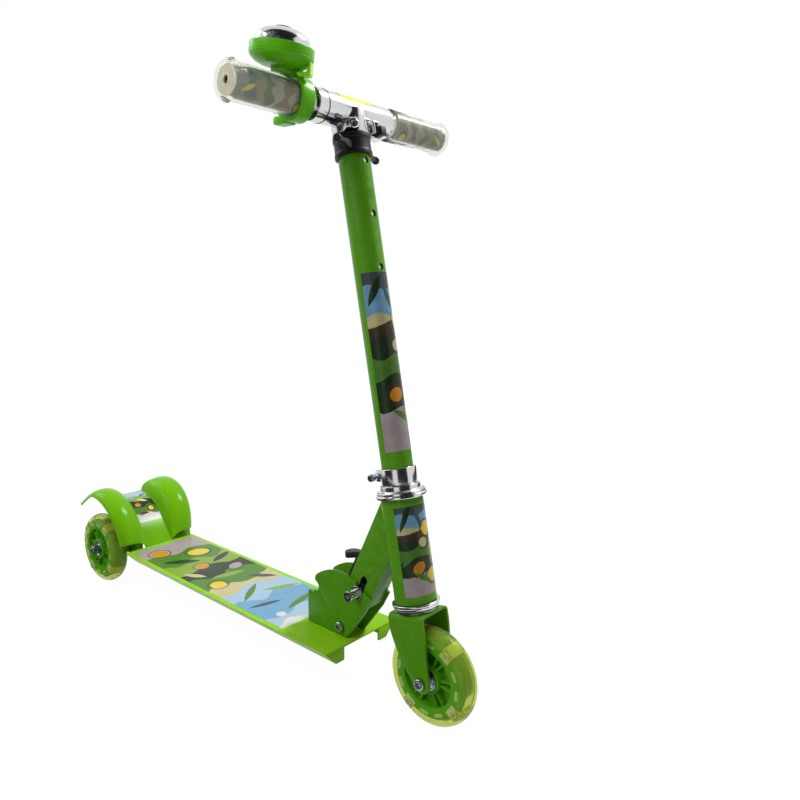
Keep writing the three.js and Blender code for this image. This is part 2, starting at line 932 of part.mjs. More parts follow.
function addNeck() {
  addPiece(neckFrame, "neck_box", neckBoxGeometry(), paint);
  const tube = tubeZ(headTube.radius, headTube.bore, headTubeBottom, headTubeTop, fineSides);
  addPiece(columnFrame, "head_tube", tube, paint);
}

// A tongue with a round end, that slopes down behind the neck.
function fingerTab() {
  const side = latch.stemHalfWidth;
  const shape = new THREE.Shape();
  shape.moveTo(0, -side);
  shape.absarc(latch.tabLength - side, 0, side, -Math.PI / 2, Math.PI / 2, false);
  shape.lineTo(0, side);
  shape.closePath();
  const tongue = new THREE.ExtrudeGeometry(shape, {
    depth: latch.tabThickness,
    bevelEnabled: false,
    curveSegments: arcSteps,
  });
  const tilt = radians(latch.tabTilt);
  const turn = new THREE.Matrix4().makeBasis(
    new THREE.Vector3(-Math.sin(tilt), 0, -Math.cos(tilt)),
    new THREE.Vector3(0, 1, 0),
    new THREE.Vector3(Math.cos(tilt), 0, -Math.sin(tilt)),
  );
  const neckFace = block(
    [-latch.tabLength * 2, -side * 2, -latch.tabLength * 2],
    [0, side * 2, latch.tabLength],
  );
  return common(tongue.applyMatrix4(turn), neckFace);
}

// The latch: a sprung pin across the neck, lifted by a black finger lever behind it.
function latchHandleGeometry() {
  const pin = latch.pinAlong;
  const inside = neck.halfWidth - neck.wall - gap;
  const rear = -neck.rearOffset;
  const body = block(
    [latch.pinAcross - latch.blockAcross, -inside, pin - latch.blockBelow],
    [latch.pinAcross + latch.blockAcross, inside, pin + latch.blockAbove],
  );
  const throat = block(
    [rear - gap - latch.stemThickness / 2, -latch.throatHalfWidth, pin - latch.blockBelow],
    [latch.pinAcross, latch.throatHalfWidth, pin + latch.blockAbove],
  );
  const stemX = rear - gap - latch.stemThickness / 2;
  const stem = plateXZ(
    slotOutline([stemX, pin], [stemX, pin + latch.stemTop], latch.stemThickness / 2),
    latch.stemHalfWidth * 2,
  );
  const tab = fingerTab().translate(rear - gap, 0, pin + latch.stemTop);
  const bore = rodY(latch.pinRadius + gap, -inside - overrun, inside + overrun).translate(
    latch.pinAcross,
    0,
    pin,
  );
  return cut(join(body, throat, stem, tab), bore);
}

function springGeometry() {
  const bottom = latch.pinAlong + latch.blockAbove + gap + latch.springWire;
  const points = [];
  const steps = latch.springTurns * arcSteps;
  for (let i = 0; i <= steps; i += 1) {
    const angle = (Math.PI * 2 * i) / arcSteps;
    points.push(
      new THREE.Vector3(
        latch.pinAcross + latch.springRadius * Math.cos(angle),
        latch.springRadius * Math.sin(angle),
        bottom + (latch.springLength * i) / steps,
      ),
    );
  }
  const wire = new THREE.Shape();
  wire.absarc(0, 0, latch.springWire, 0, Math.PI * 2, false);
  return new THREE.ExtrudeGeometry(wire, {
    steps,
    curveSegments: wireSteps,
    extrudePath: new THREE.CatmullRomCurve3(points),
  });
}

function knobGeometry() {
  const base = neck.halfWidth + gap + cheek.thickness + gap;
  const washerEnd = base + latch.washerThickness;
  const knobEnd = washerEnd + latch.knobLength;
  return spunY(
    [
      [0, base],
      [latch.washerRadius, base],
      [latch.washerRadius, washerEnd],
      [latch.knobRadius, washerEnd],
      [latch.knobRadius, knobEnd],
      [latch.tipRadius, knobEnd],
      [latch.tipRadius, knobEnd + latch.tipLength],
      [0, knobEnd + latch.tipLength],
    ],
    smallSides,
  );
}

function addLatch() {
  addPiece(neckFrame, "latch_handle", latchHandleGeometry(), blackPlastic);
  addPiece(neckFrame, "latch_spring", springGeometry(), zinc);
  const pinFrame = new THREE.Group();
  pinFrame.position.set(latch.pinAcross, 0, latch.pinAlong);
  neckFrame.add(pinFrame);
  addPiece(pinFrame, "latch_pin", rodY(latch.pinRadius, -neck.halfWidth, neck.halfWidth), zinc);
  addPiece(pinFrame, "latch_knob_left", knobGeometry(), zinc);
  addPiece(pinFrame, "latch_knob_right", mirroredY(knobGeometry()), zinc);
}

// Headset: pressed cups, rings of balls, the fork's race and the adjusting nut
function cupGeometry(flangeRadius, flangeHeight, side) {
  const seat = headTube.bore - gap;
  const lip = seat - headset.wall;
  const wallTop = headset.wall;
  const cavity = flangeRadius - headset.rimWall;
  const profile = [
    [lip, -headset.insert],
    [seat, -headset.insert],
    [seat, gap],
    [flangeRadius - headset.rimRound, gap],
    [flangeRadius, gap + headset.rimRound],
    [flangeRadius, flangeHeight - headset.rimRound],
    [flangeRadius - headset.rimRound, flangeHeight],
    [cavity, flangeHeight],
    [cavity, gap + wallTop],
    [lip, gap + wallTop],
    [lip, -headset.insert],
  ];
  const cup = spunZ(profile, fineSides);
  return side > 0 ? cup : cup.rotateX(Math.PI);
}

function ballRingGeometry(along) {
  const cage = tubeZ(
    headset.trackRadius + headset.cageReach,
    headset.trackRadius - headset.cageReach,
    along - headset.cageHalf,
    along + headset.cageHalf,
    smallSides,
  );
  const balls = [];
  for (let i = 0; i < headset.ballCount; i += 1) {
    const angle = (Math.PI * 2 * i) / headset.ballCount;
    const ball = new THREE.OctahedronGeometry(headset.ballRadius);
    balls.push(
      ball.translate(headset.trackRadius * Math.cos(angle), headset.trackRadius * Math.sin(angle), along),
    );
  }
  return join(cage, ...balls);
}

function headsetPlaces() {
  const floor = gap + headset.wall;
  const ballAway = floor + gap + headset.ballRadius;
  return {
    upperBalls: headTubeTop + ballAway,
    lowerBalls: headTubeBottom - ballAway,
    nutBottom: headTubeTop + ballAway + headset.ballRadius + gap,
    raceTop: headTubeBottom - ballAway - headset.ballRadius - gap,
  };
}

function addHeadset() {
  const places = headsetPlaces();
  const upper = cupGeometry(headset.upperRadius, headset.upperFlange, 1).translate(0, 0, headTubeTop);
  const lower = cupGeometry(headset.lowerRadius, headset.lowerFlange, -1).translate(0, 0, headTubeBottom);
  addPiece(columnFrame, "upper_cup", upper, chrome);
  addPiece(columnFrame, "lower_cup", lower, chrome);
  addPiece(columnFrame, "upper_ball_ring", ballRingGeometry(places.upperBalls), zinc);
  addPiece(columnFrame, "lower_ball_ring", ballRingGeometry(places.lowerBalls), zinc);
  const raceOuter = headset.lowerRadius - headset.rimWall - gap * 2;
  const raceBottom = fork.crownAlong + gap;
  const race = spunZ(
    [
      [headset.raceInnerRadius, raceBottom],
      [raceOuter, raceBottom],
      [raceOuter, places.raceTop - headset.rimRound],
      [raceOuter - headset.rimRound, places.raceTop],
      [headset.raceInnerRadius, places.raceTop],
      [headset.raceInnerRadius, raceBottom],
    ],
    plainSides,
  );
  addPiece(columnFrame, "crown_race", race, zinc);
  const nutTop = columnBottom - gap;
  const coneRadius = headset.upperRadius - headset.rimWall - gap * 2;
  const nut = spunZ(
    [
      [headset.raceInnerRadius, places.nutBottom],
      [coneRadius, places.nutBottom],
      [coneRadius, headTubeTop + headset.upperFlange],
      [headset.nutRadius, nutTop - headset.rimRound],
      [headset.nutRadius - headset.rimRound, nutTop],
      [headset.raceInnerRadius, nutTop],
      [headset.raceInnerRadius, places.nutBottom],
    ],
    plainSides,
  );
  addPiece(columnFrame, "adjusting_nut", nut, chrome);
}

// Fork: a pressed channel, cut to its side outline
function forkSideOutline() {
  const half = fork.crownHalfLength;
  const top = fork.crownAlong;
  const shoulder = top - fork.shoulderDrop;
  const shape = new THREE.Shape();
  shape.moveTo(-half, top + overrun);
  shape.lineTo(-half, shoulder);
  shape.quadraticCurveTo(
    -half + fork.bendRadius,
    shoulder / 2,
    layout.axleLead - fork.tipRadius,
    0,
  );
  shape.absarc(layout.axleLead, 0, fork.tipRadius, Math.PI, Math.PI * 2, false);
  shape.quadraticCurveTo(half - fork.bendRadius / 2, shoulder / 2, half, shoulder);
  shape.lineTo(half, top + overrun);
  shape.closePath();
  return shape;
}

function forkGeometry() {
  const outer = fork.halfWidth;
  const inner = outer - fork.sheet;
  const top = fork.crownAlong;
  const foot = -fork.tipRadius * 2;
  const bend = fork.bendRadius;
  const innerBend = bend - fork.sheet;
  const section = new THREE.Shape();
  section.moveTo(-outer, foot);
  section.lineTo(-inner, foot);
  section.lineTo(-inner, top - bend);
  section.absarc(-outer + bend, top - bend, innerBend, Math.PI, Math.PI / 2, true);
  section.absarc(outer - bend, top - bend, innerBend, Math.PI / 2, 0, true);
  section.lineTo(inner, foot);
  section.lineTo(outer, foot);
  section.absarc(outer - bend, top - bend, bend, 0, Math.PI / 2, false);
  section.absarc(-outer + bend, top - bend, bend, Math.PI / 2, Math.PI, false);
  section.closePath();
  const channel = barAlongX(section, -fork.crownHalfLength * 2, fork.crownHalfLength * 2);
  const side = plateXZ(forkSideOutline(), (outer + overrun) * 2);
  const bore = rodY(axle.radius + gap, -outer * 2, outer * 2).translate(layout.axleLead, 0, 0);
  return cut(common(channel, side), bore);
}

function addFork() {
  addPiece(columnFrame, "fork", forkGeometry(), paint);
  const steererBottom = fork.crownAlong + gap;
  const steererTop = columnBottom + steerer.intoColumn;
  const steererBore = steerer.radius - steerer.wall;
  const stem = tubeZ(steerer.radius, steererBore, steererBottom, steererTop, plainSides);
  addPiece(columnFrame, "steerer_tube", stem, zinc);
  const frame = new THREE.Group();
  frame.position.set(0, 0, wheel.radius);
  scooter.add(frame);
  const outer = fork.halfWidth + gap;
  const shank = rodY(axle.radius, -outer - bolt.headHeight / 2, outer + axle.nutHeight + axle.threadOut);
  const head = spunY(
    [
      [0, -outer - bolt.headHeight],
      [bolt.headRadius - headset.rimRound, -outer - bolt.headHeight],
      [bolt.headRadius, -outer - bolt.headHeight / 2],
      [bolt.headRadius, -outer],
      [0, -outer],
    ],
    smallSides,
  );
  const socket = new THREE.CylinderGeometry(
    bolt.socketRadius,
    bolt.socketRadius,
    bolt.socketDepth * 2,
    hexSides,
  ).translate(0, -outer - bolt.headHeight, 0);
  addPiece(frame, "front_axle_bolt", cut(join(shank, head), socket), zinc);
  addPiece(
    frame,
    "front_axle_nut",
    hexNutY(axle.headRadius, axle.radius + gap, outer, outer + axle.nutHeight),
    zinc,
  );
  const spacerFrom = wheel.hubHalfWidth + gap;
  const spacerTo = fork.halfWidth - fork.sheet - gap;
  const bore = axle.radius + gap;
  addPiece(
    frame,
    "front_spacer_left",
    tubeY(fork.spacerRadius, bore, spacerFrom, spacerTo, smallSides),
    zinc,
  );
  addPiece(
    frame,
    "front_spacer_right",
    tubeY(fork.spacerRadius, bore, -spacerTo, -spacerFrom, smallSides),
    zinc,
  );
}

// Column: the outer tube with its height holes, the clamp at its foot and the clip at its head
function columnTubeGeometry() {
  const tube = tubeZ(column.radius, column.radius - column.wall, columnBottom, columnTop, fineSides);
  const holes = [];
  for (let i = 0; i < column.holeCount; i += 1) {
    const along = topHole - i * column.holeSpacing;
    holes.push(rodX(column.holeRadius, 0, column.radius + overrun).translate(0, 0, along));
  }
  const slit = block(
    [-column.radius - overrun, -column.slitWidth / 2, columnBottom - overrun],
    [0, column.slitWidth / 2, columnBottom + column.slitLength],
  );
  return cut(tube, ...holes, slit);
}

function clampCollarGeometry() {
  const bottom = columnBottom;
  const top = bottom + clamp.height;
  const inner = column.radius + gap;
  const outer = inner + clamp.wall;
  const ring = tubeZ(outer, inner, bottom, top, fineSides);
  const earHalf = column.slitWidth / 2 + clamp.earThickness;
  const ears = block(
    [-outer - clamp.earLength, -earHalf, bottom + clamp.earInset],
    [-inner - clamp.wall / 2, earHalf, top - clamp.earInset],
  );
  const split = block(
    [-outer - clamp.earLength - overrun, -column.slitWidth / 2, bottom - overrun],
    [-inner / 2, column.slitWidth / 2, top + overrun],
  );
  const bore = rodY(clamp.boltRadius + gap, -earHalf - overrun, earHalf + overrun).translate(
    clampBoltX(),
    0,
    clampBoltZ(),
  );
  return cut(join(ring, ears), split, bore);
}

function clampBoltX() {
  return -column.radius - gap - clamp.wall - clamp.earLength / 2;
}

function clampBoltZ() {
  return columnBottom + clamp.height / 2;
}

function clampBoltGeometry() {
  const ear = column.slitWidth / 2 + clamp.earThickness;
  const sleeveEnd = -ear - gap - clamp.sleeveLength;
  const headEnd = sleeveEnd - clamp.boltHeadLength;
  const body = spunY(
    [
      [0, headEnd],
      [clamp.boltHeadRadius, headEnd],
      [clamp.boltHeadRadius, sleeveEnd],
      [clamp.sleeveRadius, sleeveEnd],
      [clamp.sleeveRadius, -ear - gap],
      [clamp.boltRadius, -ear - gap],
      [clamp.boltRadius, ear + clamp.earThickness],
      [0, ear + clamp.earThickness],
    ],
    smallSides,
  );
  const socket = new THREE.CylinderGeometry(
    bolt.socketRadius,
    bolt.socketRadius,
    bolt.socketDepth * 2,
    hexSides,
  ).translate(0, headEnd, 0);
  return cut(body, socket).translate(clampBoltX(), 0, clampBoltZ());
}

// The clip turns on the tube's head, and its two arms hold the handles when they are pulled off.
function clipGeometry() {
  const bottom = columnTop - clip.below;
  const top = columnTop + clip.above;
  const inner = column.radius + gap;
  const outer = inner + clip.wall;
  const throat = innerTube.radius + gap;
  const collar = spunZ(
    [
      [inner, bottom],
      [outer, bottom],
      [outer, top],
      [throat, top],
      [throat, columnTop + gap],
      [inner, columnTop + gap],
      [inner, bottom],
    ],
    fineSides,
  );
  const middle = (bottom + top) / 2;
  const arms = [-1, 1].flatMap((side) => {
    const root = side * (inner + clip.wall / 2);
    const pair = [
      [side * clip.shoulderReach, clip.shoulderThickness, clip.shoulderHeight],
      [side * clip.armReach, clip.armThickness, clip.armHeight],
    ];
    return pair.map(([reach, thickness, height]) =>
      block(
        [-thickness / 2, Math.min(root, reach), middle - height / 2],
        [thickness / 2, Math.max(root, reach), middle + height / 2],
      ),
    );
  });
  return join(collar, ...arms).rotateZ(radians(clip.turn));
}

function addColumn() {
  addPiece(columnFrame, "column_tube", columnTubeGeometry(), paint);
  addPiece(columnFrame, "clamp_collar", clampCollarGeometry(), chrome);
  addPiece(columnFrame, "clamp_bolt", clampBoltGeometry(), zinc);
  addPiece(columnFrame, "storage_clip", clipGeometry(), blackPlastic);
}

// Handlebar: the T-bar, its sliding stem and the two plug-in handles
function buttonAlong() {
  return topHole - (column.holeCount - 1) * column.holeSpacing;
}

// A spring button: its flange stays inside the tube and its head fills the tube's hole.
function buttonGeometry(tubeRadius, tubeWall) {
  const inside = tubeRadius - tubeWall;
  const flangeTop = Math.sqrt(inside ** 2 - button.flangeRadius ** 2) - gap;
  const face = Math.sqrt(tubeRadius ** 2 - button.radius ** 2);
  return spunZ(
    [
      [0, flangeTop - button.flangeHeight],
      [button.flangeRadius, flangeTop - button.flangeHeight],
      [button.flangeRadius, flangeTop],
      [button.radius, flangeTop],
      [button.radius, face],
      [0, face],
    ],
    smallSides,
  );
}

function socketBottom() {
  return columnTop + clip.above + gap;
}

function innerTubeTop() {
  return barAlong - handle.radius - gap * 2;
}

function tBarGeometry() {
  const bar = barAlong;
  const bore = handle.radius + gap;
  const half = tBar.halfLength;
  const tube = rodY(tBar.radius, -half, half, fineSides).translate(0, 0, bar);
  const hollow = rodY(bore, -half - overrun, half + overrun, plainSides).translate(0, 0, bar);
  const socket = rodZ(tBar.socketRadius, socketBottom(), bar, fineSides);
  const socketBore = rodZ(innerTube.radius + gap, socketBottom() - overrun, bar, plainSides);
  const middle = snapButtonAcross();
  const outsideFoot = bar - tBar.radius - tBar.catchDepth;
  const guard = block(
    [-tBar.catchHalfWidth, middle - tBar.catchHalfLength, outsideFoot],
    [tBar.catchHalfWidth, middle + tBar.catchHalfLength, bar],
  );
  const pocketHalfWidth = tBar.catchHalfWidth - tBar.catchWall;
  const pocketHalfLength = tBar.catchHalfLength - tBar.catchWall;
  const pocket = block(
    [-pocketHalfWidth, middle - pocketHalfLength, outsideFoot - overrun],
    [pocketHalfWidth, middle + pocketHalfLength, bar - tBar.radius - tBar.catchRoof],
  );
  const buttonHoles = [-middle, middle].map((y) =>
    rodZ(button.radius + gap, bar - tBar.radius - overrun, bar - bore / 2).translate(0, y, 0),
  );
  const lug = block(
    [0, -tBar.lugHalfWidth - tBar.lugAcross, socketBottom()],
    [tBar.socketRadius + tBar.lugReach, tBar.lugHalfWidth - tBar.lugAcross, socketBottom() + tBar.lugHeight],
  );
  const lugBore = rodX(
    tBar.lugBoltRadius / 2 + gap,
    tBar.socketRadius / 2,
    tBar.socketRadius + tBar.lugReach + overrun,
  ).translate(0, -tBar.lugAcross, socketBottom() + tBar.lugHeight / 2);
  return cut(join(tube, socket, lug, guard), hollow, socketBore, pocket, ...buttonHoles, lugBore);
}

function lugBoltGeometry() {
  const face = tBar.socketRadius + tBar.lugReach + gap;
  const tip = Math.sqrt((innerTube.radius + gap) ** 2 - tBar.lugAcross ** 2) + gap * 2;
  const shank = rodX(tBar.lugBoltRadius / 2, tip, face + tBar.lugBoltHead / 2);
  const head = rodX(tBar.lugBoltRadius, face, face + tBar.lugBoltHead);
  const socket = rodX(bolt.socketRadius, face + tBar.lugBoltHead / 2, face + tBar.lugBoltHead * 2, hexSides);
  return cut(join(shank, head), socket).translate(0, -tBar.lugAcross, socketBottom() + tBar.lugHeight / 2);
}

function snapButtonAcross() {
  return tBar.halfLength - tBar.buttonInset;
}

function innerTubeGeometry() {
  const bottom = buttonAlong() - innerTube.belowButton;
  const tube = tubeZ(innerTube.radius, innerTube.radius - innerTube.wall, bottom, innerTubeTop(), plainSides);
  const hole = rodX(button.radius + gap, 0, innerTube.radius + overrun).translate(0, 0, buttonAlong());
  return cut(tube, hole);
}

function handleTubeGeometry(innerEnd, buttonPlace) {
  const tube = tubeY(handle.radius, handle.radius - handle.wall, innerEnd, handle.reach, plainSides);
  const hole = rodZ(button.radius + gap, -handle.radius - overrun, 0).translate(0, buttonPlace, 0);
  return cut(tube, hole);
}

// A clear vinyl sleeve over a printed sheet, closed at its flanged outer end but for a small hole.
function gripGeometry() {
  const bore = handle.radius + gap;
  const flangeStart = grip.outerEnd - grip.flangeLength;
  return spunY(
    [
      [bore, grip.innerEnd],
      [grip.radius, grip.innerEnd],
      [grip.radius, flangeStart - grip.flangeRound],
      [grip.flangeRadius, flangeStart],
      [grip.flangeRadius, grip.outerEnd - grip.flangeRound],
      [grip.flangeRadius - grip.flangeRound, grip.outerEnd],
      [grip.endHoleRadius, grip.outerEnd],
      [grip.endHoleRadius, grip.outerEnd - grip.endWall],
      [bore, grip.outerEnd - grip.endWall],
      [bore, grip.innerEnd],
    ],
    fineSides,
  );
}

function addHandles() {
  const frame = new THREE.Group();
  frame.position.set(0, 0, barAlong);
  columnFrame.add(frame);
  const across = snapButtonAcross();
  const inner = tBar.halfLength - handle.insertion;
  addPiece(frame, "handle_tube_left", handleTubeGeometry(inner, across), chrome);
  addPiece(frame, "handle_tube_right", mirroredY(handleTubeGeometry(inner, across)), chrome);
  addPiece(frame, "grip_left", gripGeometry(), clearVinyl);
  addPiece(frame, "grip_right", mirroredY(gripGeometry()), clearVinyl);
  const head = () => buttonGeometry(handle.radius, handle.wall).rotateX(Math.PI);
  addPiece(frame, "handle_button_left", head().translate(0, across, 0), blackPlastic);
  addPiece(frame, "handle_button_right", head().translate(0, -across, 0), blackPlastic);
}

function addBar() {
  addPiece(columnFrame, "t_bar", tBarGeometry(), chrome);
  addPiece(columnFrame, "lug_bolt", lugBoltGeometry(), zinc);
  addPiece(columnFrame, "inner_tube", innerTubeGeometry(), chrome);
  const heightButton = buttonGeometry(innerTube.radius, innerTube.wall)
    .rotateY(Math.PI / 2)
    .translate(0, 0, buttonAlong());
  addPiece(columnFrame, "height_button", heightButton, zinc);
}

// Bell: a strap round the right grip carries the bowl, the dome and the thumb lever
function bowlHeights() {
  const bottom = bell.bowlBottom;
  const rim = bottom + bell.bowlHeight;
  return { bottom, rim, domeFoot: rim - bell.domeInset, domeTop: rim - bell.domeInset + bell.domeHeight };
}

const bowlRadiusShares = [0.3, 0.62, 0.87, 1];
const bowlHeightShares = [0, 0.13, 0.42, 0.72];

function bowlGeometry() {
  const { bottom, rim } = bowlHeights();
  const outer = bowlRadiusShares.map((share, i) => [
    bell.bowlRadius * share,
    bottom + bell.bowlHeight * bowlHeightShares[i],
  ]);
  const inner = bowlRadiusShares.map((share, i) => [
    (bell.bowlRadius - bell.bowlWall) * share,
    bottom + bell.bowlWall + (bell.bowlHeight - bell.bowlWall) * bowlHeightShares[i],
  ]);
  return spunZ(
    [
      [0, bottom],
      ...outer,
      [bell.bowlRadius, rim],
      [bell.bowlRadius - bell.bowlWall, rim],
      ...inner.reverse(),
      [0, bottom + bell.bowlWall],
    ],
    fineSides,
  );
}

function leverDirection() {
  return radians(bell.leverDirection);
}

function leverPlane() {
  return bowlHeights().bottom + bell.leverRise;
}

function bellBaseGeometry() {
  const ringInner = grip.radius + gap;
  const ringOuter = ringInner + bell.strapThickness;
  const ring = tubeY(ringOuter, ringInner, -bell.strapHalfWidth, bell.strapHalfWidth, fineSides);
  const tail = block(
    [-bell.tailLength, -bell.tailHalfWidth, -ringOuter],
    [0, bell.tailHalfWidth, -ringInner - gap],
  );
  const stem = block(
    [-bell.stemHalfWidth, -bell.bowlOffset - bell.stemHalfWidth, ringInner + bell.strapThickness / 2],
    [bell.stemHalfWidth, bell.strapHalfWidth, bell.bowlBottom + bell.bowlWall],
  );
  const reach = bell.bowlOffset + bell.bowlRadius + overrun;
  const gripSpace = rodY(ringInner, -reach, reach, fineSides);
  const { bottom, domeTop } = bowlHeights();
  const postTop = domeTop - bell.domeSheet - gap;
  const post = rodZ(bell.postRadius, bottom + bell.bowlWall / 2, postTop).translate(0, -bell.bowlOffset, 0);
  const postBore = rodZ(bell.stemRadius + gap, postTop - bell.stemLength, postTop + overrun);
  postBore.translate(0, -bell.bowlOffset, 0);
  const bowl = bowlGeometry().translate(0, -bell.bowlOffset, 0);
  const pivot = rodZ(bell.pinRadius, bottom + bell.bowlWall / 2, bowlHeights().rim - bell.hammerBelowRim);
  pivot.translate(...leverPivot(), 0);
  const window = leverWindow();
  return cut(join(bowl, stem, ring, tail, post, pivot), gripSpace, postBore, window);
}

function leverPivotRadius() {
  return bell.bowlRadius - bell.leverPivotInset;
}

function leverPivot() {
  const angle = leverDirection();
  return [
    leverPivotRadius() * Math.cos(angle),
    leverPivotRadius() * Math.sin(angle) - bell.bowlOffset,
  ];
}

// The slot in the bowl's rim that the thumb lever swings in.
function leverWindow() {
  const low = leverPlane() - gap;
  const high = leverPlane() + bell.leverThickness + gap;
  const sweep = bell.leverPivotInset * Math.sin(radians(bell.leverSwing));
  const inner = leverPivotRadius() + bell.leverHalfWidth;
  const side = bell.leverHalfWidth + gap * 2;
  const tool = block([inner, -side, low], [bell.bowlRadius + overrun, side + sweep, high]);
  tool.rotateZ(leverDirection());
  return tool.translate(0, -bell.bowlOffset, 0);
}

function leverGeometry() {
  const low = leverPlane();
  const high = low + bell.leverThickness;
  const armLength = bell.leverPivotInset - bell.leverTipInset;
  const arm = block(
    [0, -bell.leverHalfWidth, low],
    [armLength, bell.leverHalfWidth, high],
  );
  const thumb = block(
    [
      armLength - bell.thumbThickness,
      -bell.thumbHalfWidth,
      high - bell.thumbDepth,
    ],
    [armLength, bell.thumbHalfWidth, high],
  );
  const { rim } = bowlHeights();
  const hammerLow = rim - bell.hammerBelowRim;
  const boss = rodZ(bell.leverHalfWidth, low, hammerLow + bell.leverThickness);
  const hammerTurn = radians(bell.hammerTurn);
  const hammerArm = block(
    [0, -bell.hammerRadius, hammerLow],
    [bell.hammerReach, bell.hammerRadius, hammerLow + bell.leverThickness],
  );
  hammerArm.rotateZ(hammerTurn);
  const hammer = rodZ(bell.hammerRadius, hammerLow, rim + bell.leverThickness);
  hammer.translate(bell.hammerReach * Math.cos(hammerTurn), bell.hammerReach * Math.sin(hammerTurn), 0);
  const bore = rodZ(bell.pinRadius + gap, low - overrun, rim + overrun);
  const lever = cut(join(arm, thumb, boss, hammerArm, hammer), bore);
  return lever.rotateZ(leverDirection()).translate(...leverPivot(), 0);
}

const domeRadiusShares = [1, 1, 0.93, 0.76, 0.48, 0.16];
const domeHeightShares = [0, 0.3, 0.62, 0.84, 0.97, 1];

function domeGeometry() {
  const { domeFoot } = bowlHeights();
  const radius = bell.bowlRadius - bell.bowlWall - bell.domeClearance;
  const outer = domeRadiusShares.map((share, i) => [
    radius * share,
    domeFoot + bell.domeHeight * domeHeightShares[i],
  ]);
  const inner = domeRadiusShares.map((share, i) => [
    (radius - bell.domeSheet) * share,
    domeFoot + (bell.domeHeight - bell.domeSheet) * domeHeightShares[i],
  ]);
  const hole = bell.stemRadius + gap;
  const profile = [
    ...outer.slice(0, -1),
    [hole, outer.at(-1)[1]],
    [hole, inner.at(-1)[1]],
    ...inner.slice(0, -1).reverse(),
    outer[0],
  ];
  return spunZ(profile, fineSides).translate(0, -bell.bowlOffset, 0);
}

function bellCapGeometry() {
  const { domeTop } = bowlHeights();
  const base = domeTop + gap;
  const top = base + bell.capHeight;
  return spunZ(
    [
      [0, domeTop - bell.stemLength + bell.domeSheet],
      [bell.stemRadius, domeTop - bell.stemLength + bell.domeSheet],
      [bell.stemRadius, base],
      [bell.capRadius, base],
      [bell.capRadius, top - bell.capRound],
      [bell.capRadius - bell.capRound, top],
      [0, top],
    ],
    smallSides,
  ).translate(0, -bell.bowlOffset, 0);
}

function addBell() {
  addPiece(bellFrame, "bell_base", bellBaseGeometry(), greenPlastic);
  addPiece(bellFrame, "bell_dome", domeGeometry(), chrome);
  addPiece(bellFrame, "bell_cap", bellCapGeometry(), greenPlastic);
  addPiece(bellFrame, "bell_lever", leverGeometry(), greenPlastic);
}

// Rear fender: one moulding, with a low saddle between two arches that run out into tails
function screwPlaces() {
  return [
    -layout.deckRearBehind - screw.frontBehindDeck,
    -layout.deckRearBehind - screw.rearBehindDeck,
  ];
}

function saddleCurve() {
  const axleX = -layout.rearAxleBehind;
  const front = -layout.deckRearBehind + fender.frontBehindDeck;
  const low = layout.deckTop + fender.saddleFrontRise;
  const top = fender.saddleTop;
  const topX = axleX - fender.saddleTopBehindAxle;
  const run = topX - front;
  const startUp = (top - low) * saddleShares.startUp;
  return new THREE.CubicBezierCurve(
    new THREE.Vector2(front, low),
    new THREE.Vector2(front + run * saddleShares.startAcross, low + startUp),
    new THREE.Vector2(topX - run * saddleShares.endAcross, top),
    new THREE.Vector2(topX - fender.saddleTopBehindAxle, top - fender.sheet),
  );
}

function ridgeCurves() {
  const axleX = -layout.rearAxleBehind;
  const front = -layout.deckRearBehind;
  const low = layout.deckTop + fender.ridgeFrontRise;
  const top = fender.ridgeTop;
  const topX = axleX - fender.ridgeTopBehindAxle;
  const tailX = axleX - fender.tailBehindAxle;
  const run = topX - front;
  const startUp = (top - low) * riseShares.startUp;
  const rise = new THREE.CubicBezierCurve(
    new THREE.Vector2(front, low),
    new THREE.Vector2(front + run * riseShares.startAcross, low + startUp),
    new THREE.Vector2(topX - run * riseShares.endAcross, top),
    new THREE.Vector2(topX, top),
  );
  const tailRun = tailX - topX;
  const endUp = (top - fender.tailHeight) * fallShares.endUp;
  const fall = new THREE.CubicBezierCurve(
    new THREE.Vector2(topX, top),
    new THREE.Vector2(topX + tailRun * fallShares.startAcross, top),
    new THREE.Vector2(tailX - tailRun * fallShares.endAcross, fender.tailHeight + endUp),
    new THREE.Vector2(tailX, fender.tailHeight),
  );
  return { rise, fall };
}

function saddleAt(along) {
  const curve = saddleCurve();
  if (along <= topShare) {
    return curve.getPoint(along / topShare);
  }
  const end = curve.getPoint(1);
  const tailX = -layout.rearAxleBehind - fender.tailBehindAxle;
  const tail = new THREE.Vector2(tailX, fender.tailHeight - fender.sheet);
  return end.lerp(tail, (along - topShare) / (1 - topShare));
}

function ridgeAt(along) {
  const { rise, fall } = ridgeCurves();
  if (along <= topShare) {
    return rise.getPoint(along / topShare);
  }
  return fall.getPoint((along - topShare) / (1 - topShare));
}

// Across the fender: flat over the saddle, a quarter ellipse up to each ridge, and one down outside it.
function fenderPoint(along, y) {
  const saddle = saddleAt(along);
  const ridge = ridgeAt(along);
  const side = Math.abs(y);
  const slopeWidth = fender.ridgeHalf - fender.saddleHalf;
  const climb = THREE.MathUtils.clamp((side - fender.saddleHalf) / slopeWidth, 0, 1);
  const blend = Math.sqrt(1 - (1 - climb) ** 2);
  const fallOff = Math.max(0, (side - fender.ridgeHalf) / (fender.halfWidth - fender.ridgeHalf));
  const drop = fender.edgeDrop * (1 - Math.sqrt(1 - Math.min(1, fallOff) ** 2));
  const nearFront = Math.max(0, 1 - along / topShare) ** 2;
  const narrowing = fender.frontNarrowing * nearFront * (y / fender.halfWidth) ** 3;
  const point = saddle.lerp(ridge, blend);
  const inward = new THREE.Vector2(-layout.rearAxleBehind, wheel.radius).sub(point).normalize();
  point.addScaledVector(inward, drop);
  return new THREE.Vector3(point.x, y - narrowing, point.y);
}

